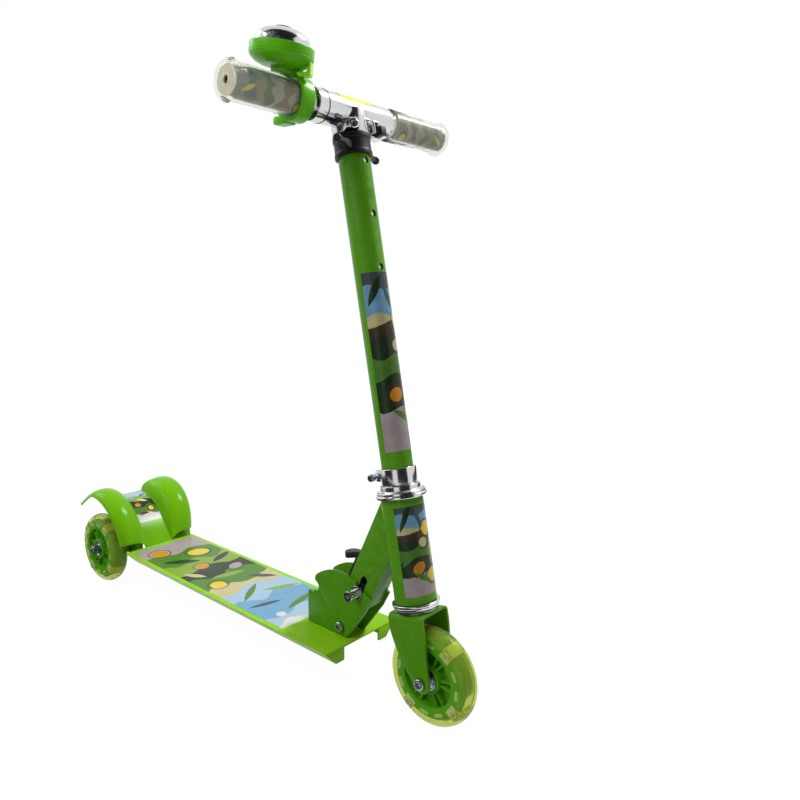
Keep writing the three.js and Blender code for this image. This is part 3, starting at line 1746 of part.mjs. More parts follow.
function fenderNormal(along, y) {
  const step = 1 / (fender.stations * fineSides);
  const width = fender.halfWidth * step;
  const before = fenderPoint(Math.max(0, along - step), y);
  const after = fenderPoint(Math.min(1, along + step), y);
  const right = fenderPoint(along, Math.max(-fender.halfWidth, y - width));
  const left = fenderPoint(along, Math.min(fender.halfWidth, y + width));
  return left.sub(right).cross(after.sub(before)).normalize();
}

// Stations across one half of the fender, closer together where its section turns more.
function fenderStationsAcross() {
  const half = [0];
  for (let i = 0; i < fender.flankSteps; i += 1) {
    const angle = (Math.PI / 2) * (i / fender.flankSteps);
    half.push(fender.saddleHalf + (fender.ridgeHalf - fender.saddleHalf) * (1 - Math.cos(angle)));
  }
  for (let i = 0; i <= fender.edgeSteps; i += 1) {
    const angle = (Math.PI / 2) * (i / fender.edgeSteps);
    half.push(fender.ridgeHalf + (fender.halfWidth - fender.ridgeHalf) * Math.sin(angle));
  }
  const mirrored = half.slice(1).reverse().map((y) => -y);
  return [...mirrored, ...half];
}

// A shell of even thickness between the outer surface and the same surface moved inwards.
function fenderShell() {
  const across = fenderStationsAcross();
  const rows = fender.stations;
  const columns = across.length - 1;
  const positions = [];
  const indices = [];
  for (const layer of [0, 1]) {
    for (let i = 0; i <= rows; i += 1) {
      for (let j = 0; j <= columns; j += 1) {
        const along = i / rows;
        const y = across[j];
        const point = fenderPoint(along, y);
        if (layer) {
          point.addScaledVector(fenderNormal(along, y), -fender.sheet);
        }
        positions.push(point.x, point.y, point.z);
      }
    }
  }
  const layerSize = (rows + 1) * (columns + 1);
  const at = (layer, i, j) => layer * layerSize + i * (columns + 1) + j;
  const quad = (a, b, c, d) => indices.push(a, b, c, a, c, d);
  for (let i = 0; i < rows; i += 1) {
    for (let j = 0; j < columns; j += 1) {
      quad(at(0, i, j), at(0, i, j + 1), at(0, i + 1, j + 1), at(0, i + 1, j));
      quad(at(1, i, j), at(1, i + 1, j), at(1, i + 1, j + 1), at(1, i, j + 1));
    }
    quad(at(0, i, 0), at(0, i + 1, 0), at(1, i + 1, 0), at(1, i, 0));
    quad(at(0, i + 1, columns), at(0, i, columns), at(1, i, columns), at(1, i + 1, columns));
  }
  for (let j = 0; j < columns; j += 1) {
    quad(at(0, 0, j + 1), at(0, 0, j), at(1, 0, j), at(1, 0, j + 1));
    quad(at(0, rows, j), at(0, rows, j + 1), at(1, rows, j + 1), at(1, rows, j));
  }
  const geometry = new THREE.BufferGeometry();
  geometry.setAttribute("position", new THREE.Float32BufferAttribute(positions, 3));
  geometry.setIndex(indices);
  return geometry;
}

// Seen from above, the arches narrow to two tails with an open bay between them.
function fenderPlanTool() {
  const saddleRear = -layout.rearAxleBehind - fender.saddleRearBehindAxle;
  const tail = -layout.rearAxleBehind - fender.tailBehindAxle;
  const inner = fender.tailMiddle - fender.tailTipHalf;
  const bay = new THREE.Shape();
  bay.moveTo(tail - overrun, -inner);
  bay.quadraticCurveTo(saddleRear - overrun, -inner, saddleRear - overrun / 2, -fender.bayShoulderHalf);
  bay.quadraticCurveTo(saddleRear, -fender.saddleHalf, saddleRear, 0);
  bay.quadraticCurveTo(saddleRear, fender.saddleHalf, saddleRear - overrun / 2, fender.bayShoulderHalf);
  bay.quadraticCurveTo(saddleRear - overrun, inner, tail - overrun, inner);
  bay.closePath();
  const bayTool = standing(bay);
  const corners = [-1, 1].map((side) => {
    const outer = side * fender.halfWidth;
    const tipOuter = side * (fender.tailMiddle + fender.tailTipHalf);
    const corner = new THREE.Shape();
    corner.moveTo(tail - overrun, outer * 2);
    corner.lineTo(tail - overrun, tipOuter);
    corner.lineTo(tail, tipOuter);
    corner.quadraticCurveTo(saddleRear - overrun, outer, saddleRear, outer);
    corner.lineTo(saddleRear, outer * 2);
    corner.closePath();
    return standing(corner);
  });
  return [bayTool, ...corners];
}

function standing(shape) {
  const height = fender.ridgeTop * 2;
  return new THREE.ExtrudeGeometry(shape, { depth: height, bevelEnabled: false, curveSegments: arcSteps });
}

// The two upright walls that carry the shell on the bracket, and the bosses for its screws.
function fenderSupports() {
  const bottom = wheel.radius + fender.wallBottomAboveAxle;
  const walls = [-1, 1].map((side) => {
    const y = side * fender.wallHalf;
    const points = [];
    for (let i = 0; i <= arcSteps; i += 1) {
      const along = fender.wallFrontShare + ((fender.wallRearShare - fender.wallFrontShare) * i) / arcSteps;
      const point = fenderPoint(along, y);
      point.addScaledVector(fenderNormal(along, y), -fender.sheet / 2);
      points.push([point.x, point.z]);
    }
    const outline = outlineOf([[points[0][0], bottom], ...points, [points.at(-1)[0], bottom]]);
    return plateXZ(outline, fender.wallThickness).translate(0, y, 0);
  });
  const bosses = screwPlaces().map((x) => {
    const curve = saddleCurve();
    const share = findShare(curve, x);
    const top = curve.getPoint(share).y - fender.sheet / 2;
    return rodZ(fender.bossRadius, bracketTop() + gap, top).translate(x, 0, 0);
  });
  const bores = screwPlaces().map((x) =>
    rodZ(screw.radius + gap, bracketTop() - overrun, bracketTop() + screw.reach).translate(x, 0, 0),
  );
  return { walls, bosses, bores };
}

function findShare(curve, x) {
  let low = 0;
  let high = 1;
  for (let i = 0; i < fineSides; i += 1) {
    const middle = (low + high) / 2;
    if (curve.getPoint(middle).x > x) {
      low = middle;
    } else {
      high = middle;
    }
  }
  return low;
}

function fenderGeometry() {
  const { walls, bosses, bores } = fenderSupports();
  return cut(join(fenderShell(), ...walls, ...bosses), ...fenderPlanTool(), ...bores);
}

function addRearFrame() {
  addPiece(scooter, "deck", deckGeometry(), brightPaint);
  addPiece(scooter, "fold_bracket", foldBracketGeometry(), paint);
  addPiece(scooter, "rear_bracket", rearBracketGeometry(), paint);
  addPiece(scooter, "rear_fender", fenderGeometry(), greenPlastic);
  const under = bracketTop() - rearBracket.plate - gap;
  screwPlaces().forEach((x, i) => {
    const geometry = join(
      rodZ(screw.headRadius, under - screw.headHeight, under),
      rodZ(screw.radius, under - screw.headHeight / 2, bracketTop() + screw.reach - gap),
    );
    addPiece(scooter, i ? "fender_screw_rear" : "fender_screw_front", geometry.translate(x, 0, 0), zinc);
  });
}

addWheels();
addRearAxle();
addRearFrame();
addPivot();
addNeck();
addLatch();
addHeadset();
addFork();
addColumn();
addBar();
addHandles();
addBell();

// The origin moves from under the front axle to under the middle of the whole length.
const foremost = wheel.radius;
const rearmost = -layout.rearAxleBehind - fender.tailBehindAxle;
scooter.position.x = -(foremost + rearmost) / 2;
const model = new THREE.Group();
model.add(scooter);

export default model;
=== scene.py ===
"""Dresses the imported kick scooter: finer shapes, finishes, printed sheets, studio and camera.

Shapes are worked out in millimetres, each sub-assembly in the frame that it is built in, and are
brought to metres and to the scooter's own frame when they are finished.
"""

import json
import logging
import math
from collections.abc import Callable, Mapping, Sequence
from dataclasses import dataclass
from enum import Enum
from typing import Any

import bmesh
import bpy
from mathutils import Matrix, Vector

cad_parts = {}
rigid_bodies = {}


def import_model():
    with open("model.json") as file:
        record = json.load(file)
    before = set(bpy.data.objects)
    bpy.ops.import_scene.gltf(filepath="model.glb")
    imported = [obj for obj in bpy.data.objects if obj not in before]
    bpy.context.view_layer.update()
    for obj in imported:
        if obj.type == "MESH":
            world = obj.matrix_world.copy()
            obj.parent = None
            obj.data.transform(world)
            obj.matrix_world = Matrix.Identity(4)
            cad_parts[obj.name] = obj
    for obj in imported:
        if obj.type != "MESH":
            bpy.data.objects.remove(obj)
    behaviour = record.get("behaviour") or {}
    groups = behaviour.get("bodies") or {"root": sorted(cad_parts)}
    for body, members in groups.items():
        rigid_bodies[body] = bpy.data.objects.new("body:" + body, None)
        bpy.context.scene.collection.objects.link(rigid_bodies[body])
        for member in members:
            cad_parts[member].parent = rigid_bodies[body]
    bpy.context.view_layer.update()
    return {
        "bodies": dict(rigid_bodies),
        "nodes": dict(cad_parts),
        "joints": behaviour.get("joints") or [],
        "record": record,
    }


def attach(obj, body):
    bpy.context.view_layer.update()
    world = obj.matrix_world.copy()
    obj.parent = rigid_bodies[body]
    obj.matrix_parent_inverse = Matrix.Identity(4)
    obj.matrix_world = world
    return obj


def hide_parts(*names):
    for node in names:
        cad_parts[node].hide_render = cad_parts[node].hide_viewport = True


LOG = logging.getLogger("scooter")

Point = tuple[float, float, float]
Pair = tuple[float, float]
Colour = tuple[float, float, float]
Piece = bpy.types.Object

MILLIMETRE = 0.001
MERGE = 0.002
GAP = 0.3
OVERRUN = 6.0
FILM = 0.15
PROUD = 0.02
FINE = 96
PLAIN = 48
SMALL = 24
HEX = 6


class Plane(Enum):
    """The plane that an outline is drawn in."""

    XZ = "xz"
    YZ = "yz"
    XY = "xy"


class Axis(Enum):
    """The axis that a profile is spun about."""

    Y = (0.0, 1.0, 0.0)
    Z = (0.0, 0.0, 1.0)


class Side(Enum):
    """The rider's right and left, as the sign of Y."""

    RIGHT = -1.0
    LEFT = 1.0


class Body(Enum):
    """The bodies that pieces ride on."""

    DECK = "deck"
    FRONT_WHEEL = "front_wheel"
    REAR_WHEEL_RIGHT = "rear_wheel_right"
    REAR_WHEEL_LEFT = "rear_wheel_left"
    NECK = "neck"
    LATCH = "latch"
    FORK = "fork"
    CLIP = "clip"
    BAR = "bar"
    HANDLE_RIGHT = "handle_right"
    HANDLE_LEFT = "handle_left"
    BELL_LEVER = "bell_lever"


class Slot(Enum):
    """The record's material slots."""

    FRAME_PAINT = "frame_paint"
    DECK_PAINT = "deck_paint"
    CHROME = "chrome"
    ZINC = "zinc"
    BLACK_PLASTIC = "black_plastic"
    GREEN_PLASTIC = "green_plastic"
    CLEAR_TYRE = "clear_tyre"
    CLEAR_GRIP = "clear_grip"


# Shader graphs


def operator(operation: str, swapped: bool = False) -> Callable[["Value", "Feed"], "Value"]:
    """Makes the method of one arithmetic operator.

    Args:
        operation: The Math node's operation.
        swapped: Whether the other number comes first.

    Returns:
        The method.
    """

    def apply(self: "Value", other: "Feed") -> "Value":
        """Adds the operator's Math node."""
        pair = (other, self) if swapped else (self, other)
        return self.graph.math(operation, *pair)

    return apply


class Value:
    """A socket of a shader graph that takes part in arithmetic."""

    def __init__(self, graph: "Graph", socket: bpy.types.NodeSocket) -> None:
        """Keeps the graph and the socket."""
        self.graph = graph
        self.socket = socket

    __add__ = operator("ADD")
    __radd__ = operator("ADD", swapped=True)
    __sub__ = operator("SUBTRACT")
    __rsub__ = operator("SUBTRACT", swapped=True)
    __mul__ = operator("MULTIPLY")
    __rmul__ = operator("MULTIPLY", swapped=True)
    __truediv__ = operator("DIVIDE")
    __pow__ = operator("POWER")

    def __abs__(self) -> "Value":
        """The distance from zero."""
        return self.graph.math("ABSOLUTE", self)

    def clamped(self) -> "Value":
        """Held between 0 and 1."""
        return self.graph.math("ADD", self, 0.0, clamp=True)

    def largest(self, other: "Feed") -> "Value":
        """The larger of the two."""
        return self.graph.math("MAXIMUM", self, other)

    def sine(self) -> "Value":
        """The sine, of radians."""
        return self.graph.math("SINE", self)

    def root(self) -> "Value":
        """The square root."""
        return self.graph.math("SQRT", self)


Feed = Value | float | Sequence[float]


class Graph:
    """The nodes of one material, or of the surround."""

    def __init__(self, name: str, world: bpy.types.World | None = None) -> None:
        """Starts an empty graph.

        Args:
            name: The material's name.
            world: The surround, where the nodes are for that.
        """
        self.owner = world or bpy.data.materials.new(name)
        self.owner.use_nodes = True
        self.tree = self.owner.node_tree
        self.tree.nodes.clear()

    def _socket(self, sockets: Any, key: str | int) -> bpy.types.NodeSocket:
        """Finds a socket by its place, identifier or name."""
        if isinstance(key, int):
            return sockets[key]
        for socket in sockets:
            if socket.identifier == key:
                return socket
        return sockets[key]

    def node(
        self,
        kind: str,
        settings: Mapping[str, Any] | None = None,
        inputs: Mapping[str | int, Feed] | None = None,
    ) -> bpy.types.Node:
        """Adds a node, sets it up, and then feeds its sockets.

        Args:
            kind: The node's type.
            settings: Its properties, and "stops" for a colour ramp's positions and colours.
            inputs: A value or a link for each named socket.

        Returns:
            The node.
        """
        made = self.tree.nodes.new(kind)
        for name, value in (settings or {}).items():
            if name == "stops":
                self._set_stops(made, value)
            else:
                setattr(made, name, value)
        for key, value in (inputs or {}).items():
            socket = self._socket(made.inputs, key)
            if isinstance(value, Value):
                self.tree.links.new(value.socket, socket)
            elif socket.type == "RGBA":
                socket.default_value = (*value, 1.0)
            else:
                socket.default_value = value
        return made

    def _set_stops(self, ramp: bpy.types.Node, stops: Sequence[tuple[float, Colour]]) -> None:
        """Gives a colour ramp its stops."""
        elements = ramp.color_ramp.elements
        while len(elements) < len(stops):
            elements.new(1.0)
        for element, (position, colour) in zip(elements, stops):
            element.position = position
            element.color = (*colour, 1.0)

    def out(self, made: bpy.types.Node, key: str | int = 0) -> Value:
        """One of a node's results."""
        return Value(self, self._socket(made.outputs, key))

    def math(self, operation: str, first: Feed, second: Feed = 0.0, clamp: bool = False) -> Value:
        """Adds one Math node.

        Args:
            operation: The node's operation.
            first: Its first number or link.
            second: Its second number or link.
            clamp: Whether the result is held between 0 and 1.

        Returns:
            The result.
        """
        settings = {"operation": operation, "use_clamp": clamp}
        return self.out(self.node("ShaderNodeMath", settings, {0: first, 1: second}))

    def vector(self, operation: str, first: Feed, second: Feed) -> Value:
        """Adds one Vector Math node and returns its vector."""
        made = self.node("ShaderNodeVectorMath", {"operation": operation}, {0: first, 1: second})
        return self.out(made, "Vector")

    def mix(self, share: Feed, first: Feed, second: Feed) -> Value:
        """Mixes two colours.

        Args:
            share: How much of the second shows.
            first: The first colour.
            second: The second colour.

        Returns:
            The mixed colour.
        """
        inputs = {"Factor_Float": share, "A_Color": first, "B_Color": second}
        return self.out(self.node("ShaderNodeMix", {"data_type": "RGBA"}, inputs), "Result_Color")

    def place(self) -> Value:
        """The point on the object, in metres."""
        return self.out(self.node("ShaderNodeTexCoord"), "Object")

    def sheet_place(self) -> Value:
        """The point on the piece's own map, from 0 to 1."""
        return self.out(self.node("ShaderNodeTexCoord"), "UV")

    def parts(self, vector: Value) -> tuple[Value, Value, Value]:
        """A vector's three numbers."""
        made = self.node("ShaderNodeSeparateXYZ", None, {0: vector})
        return self.out(made, 0), self.out(made, 1), self.out(made, 2)

    def noise(self, place: Value, scale: float, detail: float = 2.0, roughness: float = 0.5) -> Value:
        """Cloudy noise from 0 to 1.

        Args:
            place: Where it is read.
            scale: How many clouds there are in a metre.
            detail: How many finer layers it has.
            roughness: How strong the finer layers are.

        Returns:
            The noise.
        """
        inputs = {"Vector": place, "Scale": scale, "Detail": detail, "Roughness": roughness}
        return self.out(self.node("ShaderNodeTexNoise", None, inputs), 0)

    def edge(self, low: float = 0.51, high: float = 0.58) -> Value:
        """1 on outer edges and 0 on flat places."""
        pointed = self.out(self.node("ShaderNodeNewGeometry"), "Pointiness")
        inputs = {"Value": pointed, "From Min": low, "From Max": high}
        return self.out(self.node("ShaderNodeMapRange", {"clamp": True}, inputs), 0)

    def bump(self, height: Value, strength: float, distance: float) -> Value:
        """A normal from a height.

        Args:
            height: The height, from 0 to 1.
            strength: How much of it shows.
            distance: How far 1 stands out, in millimetres.

        Returns:
            The normal.
        """
        inputs = {"Strength": strength, "Distance": distance * MILLIMETRE, "Height": height}
        return self.out(self.node("ShaderNodeBump", None, inputs), "Normal")

    def finish(self, inputs: Mapping[str | int, Feed]) -> bpy.types.Material:
        """Closes the graph with one Principled shader."""
        shader = self.node("ShaderNodeBsdfPrincipled", None, inputs)
        return self.close(self.out(shader, "BSDF"))

    def close(self, surface: Value, kind: str = "ShaderNodeOutputMaterial") -> Any:
        """Closes the graph with a finished shader, and returns what it belongs to."""
        self.node(kind, None, {"Surface": surface})
        return self.owner


# Finishes


@dataclass(frozen=True)
class Enamel:
    """Gloss powder coat: a slow change of tone, fine orange peel and edges rubbed paler."""

    name: str
    colour: Colour
    shade: Colour
    worn: Colour
    roughness: float = 0.2
    peel: float = 0.05
    shine: float = 0.16

    def make(self) -> bpy.types.Material:
        """Builds the material."""
        g = Graph(self.name)
        place = g.place()
        broad = g.noise(place, 11.0, 2.0)
        fine = g.noise(place, 650.0, 2.0)
        scuffs = g.noise(place, 90.0, 5.0, 0.75)
        rubbed = (g.edge() * (scuffs - 0.35) * 2.2).clamped()
        tone = g.mix((broad * 1.6 - 0.3).clamped(), self.shade, self.colour)
        marked = g.mix(((scuffs - 0.72) * 1.4).clamped(), tone, self.worn)
        return g.finish(
            {
                "Base Color": g.mix(rubbed, marked, self.worn),
                "Roughness": (self.roughness + scuffs * 0.14 + rubbed * 0.2).clamped(),
                "Specular IOR Level": self.shine,
                "Normal": g.bump(fine, 0.35, self.peel),
            }
        )


@dataclass(frozen=True)
class Plate:
    """Plated or bare metal with fine rubbing marks and faint smears."""

    name: str
    colour: Colour
    dull: Colour
    roughness: float
    smear: float = 0.12
    scratch: float = 0.25

    def make(self) -> bpy.types.Material:
        """Builds the material."""
        g = Graph(self.name)
        place = g.place()
        smears = g.noise(place, 45.0, 4.0, 0.6)
        grain = g.noise(place, 1500.0, 2.0, 0.6)
        spots = ((g.noise(place, 260.0, 3.0, 0.7) - 0.62) * 5.0).clamped()
        return g.finish(
            {
                "Base Color": g.mix((spots * 0.5 + smears * 0.25).clamped(), self.colour, self.dull),
                "Metallic": 1.0,
                "Roughness": (self.roughness + (smears - 0.4) * self.smear + spots * 0.15).clamped(),
                "Normal": g.bump(grain, self.scratch, 0.01),
            }
        )


@dataclass(frozen=True)
class Moulding:
    """Moulded plastic: a fine spark-eroded grain, flow marks and paler rubbed edges."""

    name: str
    colour: Colour
    shade: Colour
    worn: Colour
    roughness: float = 0.22
    grain: float = 0.02
    shine: float = 0.2

    def make(self) -> bpy.types.Material:
        """Builds the material."""
        g = Graph(self.name)
        place = g.place()
        flow = g.noise(g.vector("MULTIPLY", place, (1.0, 3.0, 1.0)), 22.0, 3.0)
        fine = g.noise(place, 1100.0, 2.0)
        scuffs = g.noise(place, 130.0, 4.0, 0.7)
        rubbed = (g.edge(0.52, 0.62) * (scuffs - 0.3) * 1.2).clamped()
        tone = g.mix((flow * 1.5 - 0.25).clamped(), self.shade, self.colour)
        return g.finish(
            {
                "Base Color": g.mix(rubbed, tone, self.worn),
                "Roughness": (self.roughness + scuffs * 0.12 + rubbed * 0.15).clamped(),
                "Specular IOR Level": self.shine,
                "Normal": g.bump(fine, 0.3, self.grain),
            }
        )


@dataclass(frozen=True)
class Clear:
    """A clear or tinted soft plastic that light passes through."""

    name: str
    colour: Colour
    shade: Colour
    roughness: float
    clearness: float
    ripple: float
    ripple_scale: float
    bend: float

    def make(self) -> bpy.types.Material:
        """Builds the material."""
        g = Graph(self.name)
        place = g.place()
        clouds = g.noise(place, 35.0, 3.0)
        ripples = g.noise(place, self.ripple_scale, 3.0, 0.55)
        dust = ((g.noise(place, 420.0, 3.0, 0.7) - 0.6) * 4.0).clamped()
        return g.finish(
            {
                "Base Color": g.mix(clouds, self.colour, self.shade),
                "Roughness": (self.roughness + dust * 0.25).clamped(),
                "Transmission Weight": self.clearness,
                "IOR": self.bend,
                "Normal": g.bump(ripples, 0.5, self.ripple),
            }
        )


class Shape(Enum):
    """The plain shapes that the printed sheets are made of."""

    DISC = "disc"
    RING = "ring"
    LEAF = "leaf"


@dataclass(frozen=True)
class Motif:
    """One printed shape, in millimetres on its sheet."""

    shape: Shape
    centre: Pair
    size: Pair
    colour: Colour
    turn: float = 0.0


def leaf(centre: Pair, size: Pair, colour: Colour, turn: float) -> tuple[Motif]:
    """A leaf, turned by an angle in degrees."""
    return (Motif(Shape.LEAF, centre, size, colour, turn),)


def disc(centre: Pair, size: Pair, colour: Colour, turn: float = 0.0) -> tuple[Motif]:
    """A plain disc."""
    return (Motif(Shape.DISC, centre, size, colour, turn),)


def rimmed(
    centre: Pair, size: Pair, fill: Colour, rim: Colour, gap: float, turn: float = 0.0
) -> tuple[Motif, Motif]:
    """A disc with a ring round it.

    Args:
        centre: The centre of both.
        size: The disc's half width and half height.
        fill: The disc's colour.
        rim: The ring's colour.
        gap: How much larger the ring is than the disc.
        turn: Their angle, in degrees.

    Returns:
        The disc and the ring.
    """
    wider = (size[0] + gap, size[1] + gap)
    return *disc(centre, size, fill, turn), Motif(Shape.RING, centre, wider, rim, turn)


@dataclass(frozen=True)
class Band:
    """A field of colour that starts along a wavy line and runs to the sheet's end."""

    start: float
    colour: Colour
    rise: float = 0.0
    length: float = 40.0
    phase: float = 0.0


@dataclass(frozen=True)
class Print:
    """A printed and laminated sheet: fields of colour with discs, rings and leaves on them."""

    name: str
    ground: Colour
    bands: tuple[Band, ...]
    motifs: tuple[Motif, ...]
    size: Pair
    corner: Pair = (0.0, 0.0)
    mapped: bool = True
    dusk: float = 0.12

    def _across_along(self, g: Graph) -> tuple[Value, Value]:
        """Millimetres across and along the sheet."""
        if self.mapped:
            across, along, _ = g.parts(g.sheet_place())
            return across * self.size[0], along * self.size[1]
        x, y, _ = g.parts(g.place())
        return y * 1000.0 - self.corner[1], x * 1000.0 - self.corner[0]

    def _mask(self, g: Graph, motif: Motif, across: Value, along: Value) -> Value:
        """1 inside a motif and 0 outside it."""
        turn = math.radians(motif.turn)
        dx = across - motif.centre[0]
        dy = along - motif.centre[1]
        u = dx * math.cos(turn) + dy * math.sin(turn)
        v = dy * math.cos(turn) - dx * math.sin(turn)
        half_u, half_v = motif.size
        if motif.shape is Shape.LEAF:
            belly = half_v * (1.0 - (u / half_u) ** 2.0)
            return ((belly - abs(v)) * 2.5).clamped()
        reach = ((u / half_u) ** 2.0 + (v / half_v) ** 2.0).root()
        inside = (1.0 - reach) * min(half_u, half_v)
        if motif.shape is Shape.RING:
            return ((0.9 - abs(inside)) * 2.5).clamped()
        return (inside * 2.5).clamped()

    def colours(self, g: Graph) -> Value:
        """Lays the bands and the motifs over each other."""
        across, along = self._across_along(g)
        wander = (g.noise(g.place(), 55.0, 3.0) - 0.5) * 9.0
        paint = g.mix(0.0, self.ground, self.ground)
        for band in self.bands:
            wave = (across * (math.tau / band.length) + band.phase).sine() * band.rise
            mask = ((along - band.start + wave + wander * (band.rise / 6.0)) * 1.2).clamped()
            paint = g.mix(mask, paint, band.colour)
        for motif in self.motifs:
            paint = g.mix(self._mask(g, motif, across, along), paint, motif.colour)
        return paint

    def make(self) -> bpy.types.Material:
        """Builds the material."""
        g = Graph(self.name)
        place = g.place()
        clouds = g.noise(place, 70.0, 4.0, 0.6)
        scuffs = ((g.noise(place, 240.0, 4.0, 0.75) - 0.6) * 3.0).clamped()
        painted = self.colours(g)
        toned = g.mix((clouds * self.dusk * 2.0).clamped(), painted, (0.02, 0.025, 0.015))
        return g.finish(
            {
                "Base Color": g.mix(scuffs * 0.22, toned, (0.75, 0.76, 0.72)),
                "Roughness": (0.24 + scuffs * 0.25).clamped(),
                "Specular IOR Level": 0.18,
                "Normal": g.bump(g.noise(place, 160.0, 2.0), 0.25, 0.05),
            }
        )


FRAME_ENAMEL = Enamel(
    "frame enamel", (0.074, 0.262, 0.004), (0.062, 0.228, 0.003), (0.20, 0.42, 0.06), shine=0.12
)
TREAD_ENAMEL = Enamel(
    "tread enamel", (0.240, 0.560, 0.005), (0.200, 0.480, 0.004), (0.42, 0.66, 0.06), shine=0.07
)
CHROME = Plate("chrome plate", (0.66, 0.66, 0.67), (0.42, 0.42, 0.42), roughness=0.15)
ZINC = Plate("zinc plate", (0.46, 0.50, 0.57), (0.26, 0.28, 0.32), 0.24, smear=0.16, scratch=0.5)
# Oiled steel for the ball rings, races, steerer and pivot bush, its colour darkened well below the zinc as
# painted shade for parts that sit inside the head tube and neck.
STEEL_IN_SHADE = Plate("oiled steel with painted shade", (0.30, 0.30, 0.31), (0.14, 0.13, 0.12), 0.34, 0.16, 0.5)
BLACK = Moulding(
    "black moulding", (0.018, 0.018, 0.020), (0.011, 0.011, 0.012), (0.05, 0.05, 0.05), 0.34, 0.03
)
GREEN = Moulding(
    "green moulding", (0.165, 0.460, 0.003), (0.130, 0.390, 0.003), (0.42, 0.68, 0.08), 0.13, 0.01, 0.1
)
CORE_GREEN = Moulding(
    "core green", (0.090, 0.350, 0.006), (0.065, 0.290, 0.004), (0.25, 0.55, 0.10), 0.3, shine=0.08
)
BELL_GREEN = Moulding("bell green", (0.125, 0.520, 0.003), (0.090, 0.430, 0.002), (0.30, 0.62, 0.08), 0.2)
LEVER_GREEN = Moulding("lever green", (0.360, 0.900, 0.006), (0.300, 0.820, 0.004), (0.5, 0.9, 0.2), 0.2)
CAP_PALE = Moulding("end cap", (0.62, 0.56, 0.44), (0.52, 0.47, 0.36), (0.5, 0.48, 0.4), 0.3)
LAMP_PALE = Moulding("lamp housing", (0.50, 0.54, 0.20), (0.40, 0.45, 0.13), (0.78, 0.8, 0.55), 0.25)
LUG_PALE = Moulding("tyre lugs", (0.42, 0.50, 0.14), (0.32, 0.40, 0.09), (0.75, 0.8, 0.45), 0.3)
TYRE = Clear(
    "clear tyre",
    (0.54, 0.65, 0.13),
    (0.46, 0.57, 0.10),
    roughness=0.08,
    clearness=0.82,
    ripple=0.04,
    ripple_scale=60.0,
    bend=1.16,
)
VINYL = Clear(
    "clear vinyl",
    (0.90, 0.91, 0.86),
    (0.80, 0.82, 0.75),
    roughness=0.04,
    clearness=0.92,
    ripple=0.10,
    ripple_scale=120.0,
    bend=1.12,
)

SKY = (0.16, 0.36, 0.55)
PALE_SKY = (0.36, 0.52, 0.66)
CREAM = (0.56, 0.50, 0.24)
MEADOW = (0.075, 0.21, 0.022)
LIME = (0.22, 0.38, 0.035)
PINE = (0.012, 0.032, 0.009)
BARK = (0.050, 0.030, 0.020)
LILAC = (0.40, 0.33, 0.34)
ORANGE = (0.66, 0.27, 0.008)
YELLOW = (0.78, 0.56, 0.02)
SLATE = (0.055, 0.080, 0.085)
WHITE = (0.66, 0.67, 0.62)

TREAD_PRINT = Print(
    "tread print",
    LILAC,
    (
        Band(42.0, MEADOW, 5.0, 60.0, 0.6),
        Band(84.0, LIME, 7.0, 52.0, 2.1),
        Band(118.0, PINE, 6.0, 75.0, 4.0),
        Band(150.0, MEADOW, 8.0, 64.0, 1.2),
        Band(188.0, CREAM, 7.0, 80.0, 0.2),
        Band(210.0, PALE_SKY, 6.0, 70.0, 3.4),
        Band(246.0, SKY, 8.0, 58.0, 1.0),
        Band(300.0, PALE_SKY, 6.0, 66.0, 2.6),
        Band(318.0, WHITE, 5.0, 44.0, 5.0),
    ),
    (
        *rimmed((24.0, 30.0), (12.0, 12.0), ORANGE, BARK, 3.0),
        *rimmed((66.0, 62.0), (15.0, 12.0), YELLOW, BARK, 3.0, 20.0),
        *leaf((30.0, 78.0), (26.0, 7.0), PINE, 35.0),
        *leaf((78.0, 100.0), (22.0, 6.0), BARK, -25.0),
        *rimmed((40.0, 112.0), (9.0, 9.0), ORANGE, SLATE, 3.0),
        *leaf((16.0, 132.0), (17.0, 5.0), CREAM, 60.0),
        *rimmed((72.0, 142.0), (11.0, 8.0), LILAC, BARK, 3.0, -30.0),
        *leaf((48.0, 160.0), (24.0, 6.0), LIME, 12.0),
        *rimmed((20.0, 178.0), (10.0, 10.0), YELLOW, BARK, 3.0),
        *leaf((76.0, 196.0), (20.0, 5.0), SLATE, 48.0),
        *leaf((34.0, 226.0), (27.0, 4.5), MEADOW, -38.0),
        *leaf((70.0, 242.0), (25.0, 4.5), LIME, 22.0),
        *leaf((26.0, 266.0), (22.0, 4.0), SLATE, 14.0),
        *leaf((62.0, 288.0), (28.0, 5.0), MEADOW, -16.0),
        *disc((22.0, 300.0), (6.0, 6.0), WHITE),
        *disc((82.0, 312.0), (8.0, 8.0), PALE_SKY),
    ),
    size=(95.0, 329.0),
    corner=(-212.0, -47.5),
    mapped=False,
)


